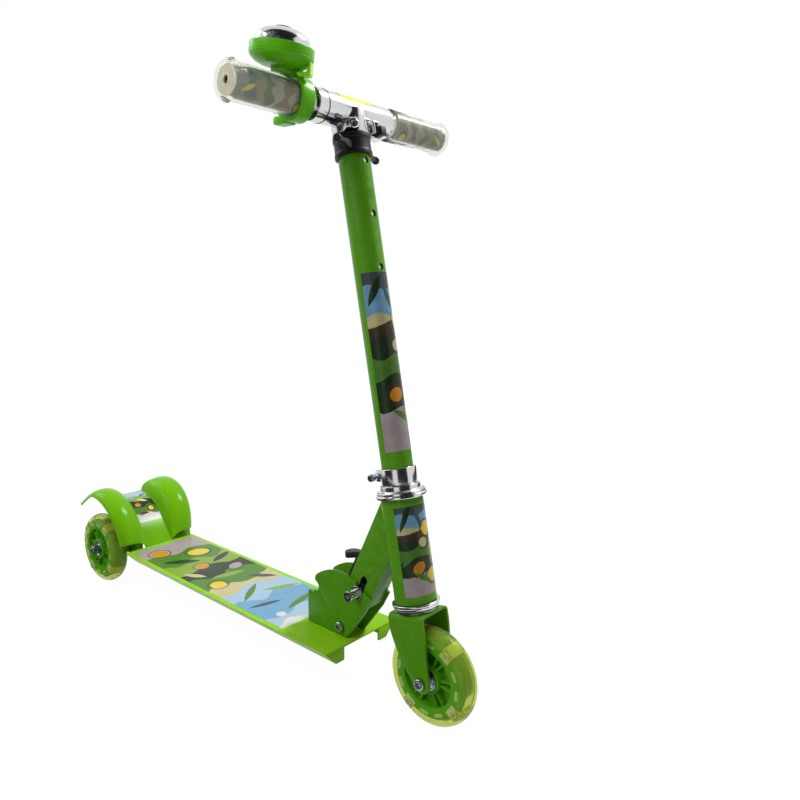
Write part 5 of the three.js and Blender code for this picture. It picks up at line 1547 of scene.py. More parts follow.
@dataclass
class Tread:
    """The pressed tread, its printed sheet and the folding bracket that stands on it."""

    half_width: float = 54.1
    sheet: float = 2.0
    flange_depth: float = 16.5
    flange_inward: float = 15.4
    tab_inner: float = 26.5
    print_inset: float = 6.6
    print_rear: float = -212.0
    print_front: float = 117.0

    def section(self) -> list[Pair]:
        """The tray's section in Y and Z, with rounded bends."""
        slant = math.hypot(self.flange_inward, self.flange_depth)
        inward_y = self.flange_depth / slant * self.sheet
        inward_z = self.flange_inward / slant * self.sheet
        foot_y = -self.half_width + self.flange_inward
        foot_z = DECK_TOP - self.flange_depth
        run = (self.sheet + inward_z) / (self.flange_depth / slant)
        inner_y = -self.half_width + inward_y + run * self.flange_inward / slant
        outer = [(-self.half_width, DECK_TOP), (foot_y, foot_z)]
        inner = [(foot_y + inward_y, foot_z + inward_z), (inner_y, DECK_TOP - self.sheet)]
        half = rounded([(0.0, DECK_TOP), *outer, *inner, (0.0, DECK_TOP - self.sheet)], 1.3, 5)[1:-1]
        return [*half, *[(-y, z) for y, z in reversed(half)]]

    def build(self, bench: Workbench) -> None:
        """Builds the tread and dresses what stands on it."""
        tray = bench.plate("tread", self.section(), (DECK_REAR_X, DECK_FRONT_X), Plane.YZ, 0.35)
        tabs = []
        high = DECK_TOP - 1.0
        low = DECK_TOP - self.flange_depth
        ends = (DECK_FRONT_X - self.sheet, DECK_FRONT_X - 0.1)
        for side in Side:
            corners = [
                (side.value * (self.half_width - 1.2), high),
                (side.value * (self.half_width - self.flange_inward), low),
                (side.value * self.tab_inner, low),
                (side.value * self.tab_inner, high),
            ]
            tabs.append(bench.plate("tab", rounded(corners, 1.6, 4, True), ends, Plane.YZ, 0.3))
        tread = bench.joined("tread", tray, *tabs)
        bench.done(tread, TREAD_ENAMEL, Body.DECK, Slot.DECK_PAINT, ["deck"])
        half = self.half_width - self.print_inset
        outline = mirrored([(self.print_rear, -half), (self.print_front, -half)])
        film = bench.plate(
            "tread.print", rounded(outline, 3.0, 5, True), (DECK_TOP + PROUD, DECK_TOP + 0.2), Plane.XY
        )
        bench.done(film, TREAD_PRINT, Body.DECK, Slot.DECK_PAINT)
        bracket = bench.refined("folding.bracket", "fold_bracket", 0.45)
        bench.done(bracket, FRAME_ENAMEL, Body.DECK, Slot.FRAME_PAINT, ["fold_bracket"])
        carrier = bench.refined("rear.bracket", "rear_bracket", 0.35, 2)
        bench.done(carrier, FRAME_ENAMEL, Body.DECK, Slot.FRAME_PAINT, ["rear_bracket"])


def bezier(points: Sequence[Pair], t: float) -> Vector:
    """A point on a cubic curve.

    Args:
        points: The curve's four points.
        t: How far along it, from 0 to 1.

    Returns:
        The point.
    """
    a, b, c, d = (Vector(point) for point in points)
    rest = 1 - t
    return a * rest**3 + b * (3 * rest * rest * t) + c * (3 * rest * t * t) + d * t**3


def bend(start: Pair, corner: Pair, end: Pair, steps: int = 14) -> list[Pair]:
    """A quadratic bend.

    Args:
        start: Its start.
        corner: The corner that it is drawn towards.
        end: Its end.
        steps: How many pieces it has.

    Returns:
        The points, both ends included.
    """
    a, b, c = Vector(start), Vector(corner), Vector(end)
    made = []
    for step in range(steps + 1):
        t = step / steps
        point = a * (1 - t) ** 2 + b * (2 * t * (1 - t)) + c * t * t
        made.append((point.x, point.y))
    return made


@dataclass
class Fender:
    """One moulding: a low saddle between two arches that run out behind into two tails."""

    sheet: float = 2.4
    half_width: float = 64.0
    front_narrowing: float = 7.0
    saddle_half: float = 20.0
    ridge_half: float = 46.0
    edge_drop: float = 9.0
    saddle_rear: float = REAR_AXLE_X - 21.0
    tail: float = REAR_AXLE_X - 56.5
    tail_height: float = 110.5
    tail_middle: float = 57.0
    tail_tip_half: float = 4.0
    bay_shoulder: float = 32.0
    saddle_top: float = 119.0
    ridge_top: float = 136.0
    top_share: float = 0.6
    saddle_cells: float = 0.2
    ridge_cells: float = 0.62
    wall_place: float = 28.4
    wall_half: float = 1.0
    wall_start: float = 0.12
    wall_reach: float = 0.44
    boss_places: Pair = (-241.5, -287.5)
    boss_foot: float = 64.8
    boss: Pair = (4.5, 2.3)
    print_half: float = 17.5
    print_start: float = 0.205
    print_reach: float = 0.355
    rows: int = 84
    columns: int = 84

    def saddle_line(self) -> tuple[Pair, ...]:
        """The saddle's curve in X and Z."""
        front, low = DECK_REAR_X - 0.4, DECK_TOP - 1.6
        top, top_x = self.saddle_top, REAR_AXLE_X - 13.0
        return (
            (front, low),
            (front + (top_x - front) * 0.22, low + (top - low) * 0.52),
            (top_x - (top_x - front) * 0.42, top),
            (top_x - 13.0, top - self.sheet),
        )

    def ridge_lines(self) -> tuple[tuple[Pair, ...], tuple[Pair, ...]]:
        """The ridge's rising and falling curves in X and Z."""
        front, low = DECK_REAR_X, DECK_TOP + 10.0
        top, top_x = self.ridge_top, REAR_AXLE_X - 4.0
        run = self.tail - top_x
        rise = (
            (front, low),
            (front + (top_x - front) * 0.04, low + (top - low) * 0.62),
            (top_x - (top_x - front) * 0.5, top),
            (top_x, top),
        )
        fall = (
            (top_x, top),
            (top_x + run * 0.35, top),
            (self.tail - run * 0.3, self.tail_height + (top - self.tail_height) * 0.34),
            (self.tail, self.tail_height),
        )
        return rise, fall

    def point(self, along: float, y: float) -> Vector:
        """A point of the outer surface.

        Args:
            along: The share of the way from the front to the tails.
            y: The distance from the middle plane.

        Returns:
            The point.
        """
        rise, fall = self.ridge_lines()
        if along <= self.top_share:
            saddle = bezier(self.saddle_line(), along / self.top_share)
            ridge = bezier(rise, along / self.top_share)
        else:
            rest = (along - self.top_share) / (1 - self.top_share)
            end = Vector((self.tail, self.tail_height - self.sheet))
            saddle = bezier(self.saddle_line(), 1.0).lerp(end, rest)
            ridge = bezier(fall, rest)
        side = abs(y)
        climb = min(1.0, max(0.0, (side - self.saddle_half) / (self.ridge_half - self.saddle_half)))
        flat = saddle.lerp(ridge, math.sqrt(1 - (1 - climb) ** 2))
        off = min(1.0, max(0.0, (side - self.ridge_half) / (self.half_width - self.ridge_half)))
        drop = self.edge_drop * (1 - math.sqrt(1 - off**2))
        inward = (Vector((REAR_AXLE_X, AXLE_HEIGHT)) - flat).normalized()
        flat += inward * drop
        narrow = self.front_narrowing * max(0.0, 1 - along / self.top_share) ** 2 * (y / self.half_width) ** 3
        return Vector((flat.x, y - narrow, flat.y))

    def saddle_height(self, x: float) -> float:
        """The height of the saddle's face over a place in the middle plane."""
        shares = [step / 200 for step in range(201)]
        nearest = min((self.point(share, 0.0) for share in shares), key=lambda point: abs(point.x - x))
        return nearest.z

    def across(self, share: float) -> float:
        """Y at a share across, with more stations where the section turns more."""
        half = abs(2 * share - 1)
        sign = math.copysign(1.0, share - 0.5)
        low, high = self.saddle_cells, self.ridge_cells
        if half < low:
            return sign * self.saddle_half * half / low
        if half < high:
            eased = 1 - math.cos((half - low) / (high - low) * math.pi / 2)
            return sign * (self.saddle_half + (self.ridge_half - self.saddle_half) * eased)
        eased = math.sin((half - high) / (1 - high) * math.pi / 2)
        return sign * (self.ridge_half + (self.half_width - self.ridge_half) * eased)

    def plan_tools(self, bench: Workbench) -> list[Piece]:
        """What is cut away as seen from above: the bay between the tails and the outer corners."""
        inner = self.tail_middle - self.tail_tip_half
        behind = self.tail - OVERRUN
        rear = self.saddle_rear
        heights = (0.0, 240.0)
        shoulder = (rear - OVERRUN / 2, -self.bay_shoulder)
        half = [
            *bend((behind, -inner), (rear - OVERRUN, -inner), shoulder),
            *bend(shoulder, (rear, -self.saddle_half), (rear, 0.0))[1:-1],
        ]
        bay = [*half, (rear, 0.0), *((x, -y) for x, y in reversed(half))]
        tools = [bench.plate("bay", bay, heights, Plane.XY)]
        for side in Side:
            outer = side.value * self.half_width
            tip = side.value * (self.tail_middle + self.tail_tip_half)
            corner = [
                (behind, outer * 2),
                (behind, tip),
                *bend((self.tail, tip), (rear - OVERRUN, outer), (rear, outer)),
                (rear, outer * 2),
            ]
            tools.append(bench.plate("corner", corner, heights, Plane.XY))
        return tools

    def shell(self, bench: Workbench) -> Piece:
        """The moulding's shell with its rim rounded."""

        def surface(across: float, along: float) -> Point:
            """The outer surface, from the tails forward."""
            return tuple(self.point(1 - along, self.across(1 - across)))

        shell = bench.sheet("fender", (self.columns, self.rows), surface, -self.sheet)
        bench.recalculate(shell)
        bench.cut(shell, *self.plan_tools(bench))
        return bench.bevelled(shell, 0.8, 3, 50.0)

    def supports(self, bench: Workbench) -> list[Piece]:
        """The two upright walls under the arches and the bosses for the screws."""
        made = []
        foot = AXLE_HEIGHT + 12.0
        for side in Side:
            y = side.value * self.wall_place
            points = [self.point(self.wall_start + self.wall_reach * step / 12, y) for step in range(13)]
            top = [(point.x, point.z - 1.4) for point in points]
            outline = [(top[0][0], foot), *top, (top[-1][0], foot)]
            faces = (y - self.wall_half, y + self.wall_half)
            made.append(bench.plate("wall", outline, faces, Plane.XZ, 0.2))
        for x in self.boss_places:
            ends = (self.boss_foot, self.saddle_height(x + self.boss[0]) - 1.2)
            boss = bench.tube("boss", self.boss, ends, SMALL, Axis.Z, 0.3)
            made.append(bench.moved(boss, shift(x)))
        return made

    def build(self, bench: Workbench) -> None:
        """Builds the fender and the sheet on its saddle."""
        fender = bench.joined("rear.fender", self.shell(bench), *self.supports(bench))
        bench.done(fender, GREEN, Body.DECK, Slot.GREEN_PLASTIC, ["rear_fender"], angle=50.0)

        def saddle(across: float, along: float) -> Point:
            """The saddle's face, a little proud."""
            y = self.print_half * (2 * across - 1)
            share = self.print_start + self.print_reach * along
            here = self.point(share, -y)
            step = 0.004
            slope = self.point(share + step, -y) - self.point(share - step, -y)
            lift = Vector((slope.z, 0.0, -slope.x)).normalized()
            if lift.z < 0:
                lift = -lift
            return tuple(here + lift * 0.05)

        film = bench.sheet("saddle.print", (12, 40), saddle, FILM)
        bench.done(film, SADDLE_PRINT, Body.DECK, Slot.GREEN_PLASTIC)


def tube_sheet(radius: float, middle: float, sweep: float, ends: Pair) -> Callable[[float, float], Point]:
    """The surface of a sheet round an upright tube.

    Args:
        radius: The sheet's inner radius.
        middle: The direction of its middle, in degrees from forward towards the rider's left.
        sweep: The angle that it covers, in degrees.
        ends: Its foot and its head.

    Returns:
        The surface, with across running to the rider's left and along running up.
    """

    def surface(across: float, along: float) -> Point:
        """The point at two shares."""
        angle = math.radians(middle + sweep * (across - 0.5))
        height = ends[0] + (ends[1] - ends[0]) * along
        return (radius * math.cos(angle), radius * math.sin(angle), height)

    return surface


@dataclass
class Neck:
    """The folded neck box, the head tube with its sheet, and the headset's cups."""

    tube_radius: float = 21.3
    tube_bore: float = 18.5
    tube_ends: Pair = (76.0, 179.9)
    print_middle: float = 0.0
    print_sweep: float = 150.0
    print_ends: Pair = (84.0, 172.0)
    lower_cup: Pair = (24.4, 5.9)
    upper_cup: Pair = (25.9, 6.8)
    cup_wall: float = 2.9

    def cup(self, bench: Workbench, name: str, size: Pair) -> Piece:
        """A pressed cup with a rounded flange, opening upwards.

        Args:
            bench: The workbench.
            name: The cup's name.
            size: The flange's radius and height.

        Returns:
            The cup, with the tube's end at height 0.
        """
        radius, height = size
        bore, skirt, depth = 16.5, 18.2, -8.0
        profile = [
            (bore, depth), (skirt, depth), (skirt, GAP), (radius, GAP), (radius, height * 0.45),
            (radius - 0.9, height * 0.62), (radius - 0.9, height), (radius - self.cup_wall, height),
            (radius - self.cup_wall, 2.0), (bore, 2.0),
        ]
        return bench.spun(name, rounded(profile, 1.0, 5, True), FINE)

    def build(self, bench: Workbench) -> None:
        """Builds the neck's pieces."""
        low, high = self.tube_ends
        box = bench.refined("neck.box", "neck_box", 0.9)
        bench.done(box, FRAME_ENAMEL, Body.NECK, Slot.FRAME_PAINT, ["neck_box"])
        tube = bench.tube("head.tube", (self.tube_radius, self.tube_bore), self.tube_ends)
        bench.done(tube, FRAME_ENAMEL, Body.NECK, Slot.FRAME_PAINT, ["head_tube"], COLUMN)
        surface = tube_sheet(self.tube_radius + PROUD, self.print_middle, self.print_sweep, self.print_ends)
        film = bench.sheet("head.print", (40, 20), surface, FILM)
        bench.done(film, HEAD_TUBE_PRINT, Body.NECK, Slot.FRAME_PAINT, (), COLUMN)
        upper = bench.moved(self.cup(bench, "upper.cup", self.upper_cup), shift(z=high))
        bench.done(upper, CHROME, Body.NECK, Slot.CHROME, ["upper_cup"], COLUMN)
        lower = bench.moved(self.cup(bench, "lower.cup", self.lower_cup), shift(z=low) @ rotation(180.0, "X"))
        bench.done(lower, CHROME, Body.NECK, Slot.CHROME, ["lower_cup"], COLUMN)
        bench.dress(STEEL_IN_SHADE, "upper_ball_ring", "lower_ball_ring", "pivot_bush")


@dataclass
class Latch:
    """The black finger lever, its pin and the two knobs."""

    pin_place: Pair = (2.5, 52.9)
    washer: Pair = (7.4, 1.8)
    knob: Pair = (4.6, 8.4)
    tip: Pair = (5.5, 4.4)
    ribs: int = 4
    base: float = 15.1

    def knob_piece(self, bench: Workbench) -> Piece:
        """A flanged base, a ribbed neck and a wide end with a small hole, outside the left cheek."""
        flange, thickness = self.washer
        radius, reach = self.knob
        tip, height = self.tip
        ribs = self.base + thickness
        outline = [(0.0, self.base), (flange, self.base), (flange, ribs), (radius, ribs)]
        for rib in range(self.ribs):
            start = ribs + reach * rib / self.ribs
            outline += [(radius, start + 0.3), (radius - 0.7, start + 0.7), (radius, start + 1.1)]
        end = ribs + reach
        top = end + height
        hole, floor = 1.5, top - 2.2
        outline += [(radius, end), (tip, end), (tip, top), (hole, top), (hole, floor), (0.0, floor)]
        return bench.spun("latch.knob.left", rounded(outline, 0.45, 3), PLAIN, Axis.Y)

    def build(self, bench: Workbench) -> None:
        """Builds the latch."""
        handle = bench.refined("latch.handle", "latch_handle", 1.1, 4)
        bench.done(handle, BLACK, Body.LATCH, Slot.BLACK_PLASTIC, ["latch_handle"])
        frame = NECK @ shift(self.pin_place[0], 0.0, self.pin_place[1])
        pin = bench.rod("latch.pin", 4.0, (-12.0, 12.0), PLAIN, Axis.Y)
        bench.done(pin, ZINC, Body.LATCH, Slot.ZINC, ["latch_pin"], frame)
        knob = self.knob_piece(bench)
        other = bench.moved(bench.copied(knob, "latch.knob.right"), MIRROR)
        bench.done(knob, CHROME, Body.LATCH, Slot.ZINC, ["latch_knob_left"], frame)
        bench.done(other, CHROME, Body.LATCH, Slot.ZINC, ["latch_knob_right"], frame)
        bench.dress(ZINC, "latch_spring")


@dataclass
class Column:
    """The fork, the column tube with its sheet, the clamp and the storage clip."""

    radius: float = 15.9
    wall: float = 1.5
    ends: Pair = (193.0, 530.0)
    holes: tuple[float, ...] = (510.0, 458.0, 406.0)
    hole_radius: float = 3.4
    print_ends: Pair = (226.0, 401.0)
    print_middle: float = 6.0
    print_sweep: float = 180.0
    clamp_wall: float = 2.3
    clamp_height: float = 16.5
    slit_half: float = 1.2
    slit_height: float = 34.0
    ear_reach: float = 9.5
    ear_half: float = 4.2
    ear_inset: float = 2.2
    clip_wall: float = 2.6
    clip_turn: float = 19.0
    clip_ends: Pair = (516.0, 536.6)
    clip_lip: Pair = (14.2, 530.3)
    arm_drop: float = 3.0
    arm_bend: Pair = (26.0, 31.0)
    arm_halves: Pair = (4.0, 2.3)
    arm_end: float = 43.0
    arm_faces: Pair = (2.4, 7.6)
    tip_radius: float = 3.9
    tip_ends: Pair = (39.5, 45.5)

    def tube(self, bench: Workbench) -> Piece:
        """The tube with its three height holes and the slit at its foot."""
        tube = bench.tube("column.tube", (self.radius, self.radius - self.wall), self.ends)
        for height in self.holes:
            hole = bench.rod("hole", self.hole_radius, (0.0, self.radius + OVERRUN), PLAIN)
            bench.cut(tube, bench.moved(hole, shift(z=height) @ rotation(90.0, "Y")))
        low = self.ends[0]
        back = (-self.radius - OVERRUN, -self.slit_half, low - OVERRUN)
        return bench.cut(tube, bench.block("slit", back, (0.0, self.slit_half, low + self.slit_height)))

    def clamp(self, bench: Workbench) -> Piece:
        """The split collar with its two ears."""
        inner = self.radius + GAP
        outer = inner + self.clamp_wall
        low = self.ends[0]
        high = low + self.clamp_height
        tips = -outer - self.ear_reach
        collar = bench.tube("clamp.collar", (outer, inner), (low, high), FINE, Axis.Z, 0.7)
        foot, top = low + self.ear_inset, high - self.ear_inset
        corners = [(tips, foot), (-outer + 1.4, foot), (-outer + 1.4, top), (tips, top)]
        ears = bench.plate("ears", rounded(corners, 3.5, 6, True), (-self.ear_half, self.ear_half))
        bench.united(collar, ears)
        back = (tips - OVERRUN, -self.slit_half, low - OVERRUN)
        bench.cut(collar, bench.block("split", back, (-inner / 2, self.slit_half, high + OVERRUN)))
        return bench.bevelled(collar, 0.35, 2, 50.0)

    def clip(self, bench: Workbench) -> Piece:
        """The storage clip: a collar with two arms that each end in a round knob."""
        inner = self.radius + GAP
        outer = inner + self.clip_wall
        waist = outer - 0.7
        low, high = self.clip_ends
        lip, lip_height = self.clip_lip
        profile = [
            (inner, low), (outer, low), (outer, low + 4.0), (waist, low + 4.6), (waist, high - 5.2),
            (outer, high - 4.6), (outer, high), (lip, high), (lip, lip_height), (inner, lip_height),
        ]
        middle = (low + high) / 2 - self.arm_drop
        near, far = self.arm_bend
        wide, slim = self.arm_halves
        half = [(inner + 1.3, -wide), (near, -wide), (far, -slim), (self.arm_end, -slim)]
        made = [bench.spun("clip", rounded(profile, 0.6, 3, True), FINE)]
        for side in Side:
            outline = [(side.value * y, middle + z) for y, z in mirrored(half)]
            made.append(bench.plate("arm", rounded(outline, 1.6, 4, True), self.arm_faces, Plane.YZ, 0.7))
            knob = bench.rod("knob", self.tip_radius, self.tip_ends, PLAIN, Axis.Y, 1.9)
            flip = Matrix.Scale(side.value, 4, (0.0, 1.0, 0.0))
            made.append(bench.moved(knob, shift(sum(self.arm_faces) / 2, 0.0, middle) @ flip))
        return bench.joined("storage.clip", *made)

    def build(self, bench: Workbench) -> None:
        """Builds the fork and what stands on it."""
        fork = bench.refined("fork.channel", "fork", 0.5)
        bench.done(fork, FRAME_ENAMEL, Body.FORK, Slot.FRAME_PAINT, ["fork"])
        tube = self.tube(bench)
        bench.done(tube, FRAME_ENAMEL, Body.FORK, Slot.FRAME_PAINT, ["column_tube"], COLUMN)
        surface = tube_sheet(self.radius + PROUD, self.print_middle, self.print_sweep, self.print_ends)
        film = bench.sheet("column.print", (44, 40), surface, FILM)
        bench.done(film, COLUMN_PRINT, Body.FORK, Slot.FRAME_PAINT, (), COLUMN)
        bench.done(self.clamp(bench), CHROME, Body.FORK, Slot.CHROME, ["clamp_collar"], COLUMN)
        bench.done(self.clamp_bolt(bench), ZINC, Body.FORK, Slot.ZINC, ["clamp_bolt"], COLUMN)
        bench.done(self.adjusting_nut(bench), CHROME, Body.FORK, Slot.CHROME, ["adjusting_nut"], COLUMN)
        frame = COLUMN @ rotation(self.clip_turn)
        bench.done(self.clip(bench), BLACK, Body.CLIP, Slot.BLACK_PLASTIC, ["storage_clip"], frame)
        bench.dress(STEEL_IN_SHADE, "steerer_tube", "crown_race")

    def clamp_bolt(self, bench: Workbench) -> Piece:
        """The clamp's cap screw with its long collar."""
        face = -12.3
        screw = Fasteners().cap_screw(bench, "screw", 2.0, 4.0, (face, 7.2), 5.5)
        sleeve = bench.tube("sleeve", (3.0, 1.6), (face, -4.5), SMALL, Axis.Y, 0.4)
        bolt = bench.joined("clamp.bolt", screw, sleeve)
        x = -self.radius - GAP - self.clamp_wall - self.ear_reach / 2
        return bench.moved(bolt, shift(x, 0.0, self.ends[0] + self.clamp_height / 2))

    def adjusting_nut(self, bench: Workbench) -> Piece:
        """The stepped nut between the upper cup and the clamp."""
        top = self.ends[0] - GAP
        bottom = 179.9 + 6.2
        bore, flange, neck = 14.4, 22.4, 20.5
        profile = [
            (bore, bottom), (flange, bottom), (flange, 186.7), (neck, 187.6), (neck, top), (bore, top),
        ]
        return bench.spun("adjusting.nut", rounded(profile, 0.7, 4, True), FINE)


@dataclass
class Handlebar:
    """The T-bar, its stem and catches, the two plug-in handles and their grips."""

    radius: float = 15.5
    bore: float = 13.0
    ends: Pair = (-50.0, 50.0)
    socket_radius: float = 18.3
    socket_low: float = 536.9
    stem_bore: float = 14.2
    lug_turn: float = -26.0
    lug_faces: Pair = (-12.5, 0.5)
    screw_place: Point = (0.0, -6.0, 540.2)
    guard_half: float = 6.0
    guard_wall: float = 1.6
    guard_ends: Pair = (23.5, 40.5)
    fold_places: Pair = (2.0, 15.5)
    fold_wall: float = 1.5
    ring_ends: Pair = (-38.8, -37.6)
    strip_start: float = -22.0
    strip_length: float = 50.0
    strip_edge: float = 66.0
    strip_sweep: Pair = (58.0, 26.0)
    handle_radius: float = 12.7
    handle_wall: float = 1.3
    handle_ends: Pair = (20.0, 141.0)
    hole_radius: float = 3.3
    hole_place: float = 32.0
    grip_radius: float = 16.3
    grip_ends: Pair = (57.0, 143.0)
    flange_radius: float = 18.1
    end_hole: float = 4.0
    end_wall: float = 1.7

    def t_bar(self, bench: Workbench) -> Piece:
        """The cross tube welded to its socket."""
        tube = bench.tube("bar.tube", (self.radius, self.bore - 4.0), self.ends, FINE, Axis.Y, 0.6)
        bench.moved(tube, shift(z=BAR_ALONG))
        socket = bench.rod("socket", self.socket_radius, (self.socket_low, BAR_ALONG), FINE, Axis.Z, 0.8)
        corners = [(8.0, 537.2), (24.4, 537.2), (24.4, 547.4), (8.0, 551.0)]
        lug = bench.plate("lug", rounded(corners, 2.4, 5, True), self.lug_faces)
        bench.united(tube, socket, bench.moved(lug, rotation(self.lug_turn)))
        bench.bevelled(tube, 1.3, 4, 40.0)
        low, high = self.ends
        hollow = bench.rod("hollow", self.bore, (low - OVERRUN, high + OVERRUN), FINE, Axis.Y)
        bench.moved(hollow, shift(z=BAR_ALONG))
        stem = bench.rod("stem", self.stem_bore, (self.socket_low - OVERRUN, BAR_ALONG), FINE)
        return bench.cut(tube, hollow, stem)

    def catch(self, bench: Workbench) -> Piece:
        """The folded guard under the left side, with two upright plates beside the lug."""
        top = BAR_ALONG - self.radius + 1.2
        low = BAR_ALONG - self.radius - 4.2
        out, wall = self.guard_half, self.guard_wall
        guard = [
            (-out, top), (-out, low), (out, low), (out, top), (out - wall, top),
            (out - wall, low + wall), (wall - out, low + wall), (wall - out, top),
        ]
        made = [bench.plate("guard", rounded(guard, 1.2, 4, True), self.guard_ends, Plane.XZ, 0.3)]
        wall, reach, height = self.fold_wall, 8.0, 12.0
        fold = [(0.0, 0.0), (reach, 0.0), (reach, wall), (wall, wall), (wall, height), (0.0, height)]
        for y in self.fold_places:
            outline = [(y + across, BAR_ALONG - 9.5 - up) for across, up in fold]
            made.append(bench.plate("fold", rounded(outline, 0.8, 4, True), (11.5, 18.5), Plane.YZ, 0.3))
        return bench.joined("bar.catch", *made)

    def catch_button(self, bench: Workbench) -> Piece:
        """The black release block in the guard."""
        inner, outer = 27.6, 35.6
        top = BAR_ALONG - self.radius + 4.6
        low = BAR_ALONG - self.radius - 4.4
        outline = rounded([(inner, low), (outer, low), (outer, top), (inner, top)], 2.0, 5, True)
        return bench.plate("bar.release", outline, (5.0, 16.4), Plane.YZ, 0.8)

    def lug_bolt(self, bench: Workbench) -> Piece:
        """The socket screw in the lug, facing forward."""
        screw = Fasteners().cap_screw(bench, "bar.screw", 1.9, 5.0, (-24.7, -15.0), 3.6)
        return bench.moved(screw, rotation(self.lug_turn) @ shift(*self.screw_place) @ rotation(90.0))

    def grip(self, bench: Workbench) -> Piece:
        """The clear sleeve of a left grip, with a flange and a small hole in its end."""
        inner, outer = self.grip_ends
        bore = self.handle_radius + GAP + 0.1
        floor = outer - self.end_wall
        profile = [
            (bore, inner), (self.grip_radius, inner), (self.grip_radius, outer - 5.4),
            (self.flange_radius, outer - 4.2), (self.flange_radius, outer - 2.2),
            (self.flange_radius - 2.6, outer), (self.end_hole, outer), (self.end_hole, floor),
            (bore, floor),
        ]
        return bench.spun("grip", rounded(profile, 1.1, 5, True), FINE, Axis.Y)

    def grip_print(self, bench: Workbench) -> Piece:
        """The printed sheet that lies under a left grip."""
        radius = self.handle_radius + PROUD
        inner, outer = self.grip_ends

        def surface(across: float, along: float) -> Point:
            """Round the handle tube, from its inner end out."""
            angle = -math.tau * across
            y = inner + 0.6 + (outer - inner - 4.0) * along
            return (radius * math.cos(angle), y, radius * math.sin(angle))

        return bench.sheet("grip_print", (64, 40), surface, 0.18)

    def end_cap(self, bench: Workbench) -> Piece:
        """The pale disc seen through the end of a left grip."""
        outer = self.grip_ends[1]
        back, rim = outer - 3.6, outer - 1.4
        hole, edge = 3.3, 12.3
        profile = [
            (hole, back), (edge, back), (edge, outer - 1.9), (5.6, outer - 2.1), (5.2, rim),
            (hole, rim),
        ]
        return bench.spun("end_cap", rounded(profile, 0.3, 3, True), PLAIN, Axis.Y)

    def handles(self, bench: Workbench) -> None:
        """Builds the left handle and mirrors it to the right."""
        for source, finish, node in (
            (self.grip(bench), VINYL, "grip"),
            (self.grip_print(bench), GRIP_PRINT, ""),
            (self.end_cap(bench), CAP_PALE, ""),
        ):
            right = bench.moved(bench.copied(source, f"handle.{source.name}.right"), MIRROR)
            source.name = f"handle.{source.name}.left"
            nodes = ([f"{node}_right"], [f"{node}_left"]) if node else ((), ())
            bench.done(right, finish, Body.HANDLE_RIGHT, Slot.CLEAR_GRIP, nodes[0], BAR)
            bench.done(source, finish, Body.HANDLE_LEFT, Slot.CLEAR_GRIP, nodes[1], BAR)
        radii = (self.handle_radius, self.handle_radius - self.handle_wall)
        for body, side in ((Body.HANDLE_RIGHT, Side.RIGHT), (Body.HANDLE_LEFT, Side.LEFT)):
            tube = bench.tube(f"{body.value}.tube", radii, self.handle_ends, FINE, Axis.Y)
            hole = bench.rod("hole", self.hole_radius, (-self.handle_radius - OVERRUN, 0.0), PLAIN)
            bench.cut(tube, bench.moved(hole, shift(y=self.hole_place)))
            if side is Side.RIGHT:
                bench.moved(tube, MIRROR)
            bench.done(tube, CHROME, body, Slot.CHROME, [f"handle_tube_{side.name.lower()}"], BAR)

    def build(self, bench: Workbench) -> None:
        """Builds the bar's pieces."""
        bench.done(self.t_bar(bench), CHROME, Body.BAR, Slot.CHROME, ["t_bar"], COLUMN)
        bench.done(self.catch(bench), CHROME, Body.BAR, Slot.CHROME, (), COLUMN)
        bench.done(self.catch_button(bench), BLACK, Body.BAR, Slot.BLACK_PLASTIC, (), COLUMN)
        bench.done(self.lug_bolt(bench), CHROME, Body.BAR, Slot.ZINC, ["lug_bolt"], COLUMN)
        radii = (self.radius + 0.35, self.radius - 0.6)
        ring = bench.tube("bar.ring", radii, self.ring_ends, FINE, Axis.Y, 0.3)
        bench.done(ring, BLACK, Body.BAR, Slot.BLACK_PLASTIC, (), BAR)

        def label(across: float, along: float) -> Point:
            """The strip's place on top of the cross tube."""
            sweep = self.strip_sweep[0] - self.strip_sweep[1] * along
            angle = math.radians(self.strip_edge - across * sweep)
            radius = self.radius + PROUD
            y = self.strip_start + self.strip_length * along
            return (radius * math.cos(angle), y, radius * math.sin(angle))

        strip = bench.sheet("bar.strip", (12, 20), label, FILM)
        bench.done(strip, YELLOW_STRIP, Body.BAR, Slot.CHROME, (), BAR)
        bench.dress(CHROME, "inner_tube")
        bench.dress(ZINC, "height_button")
        bench.dress(BLACK, "handle_button_right", "handle_button_left")
        self.handles(bench)


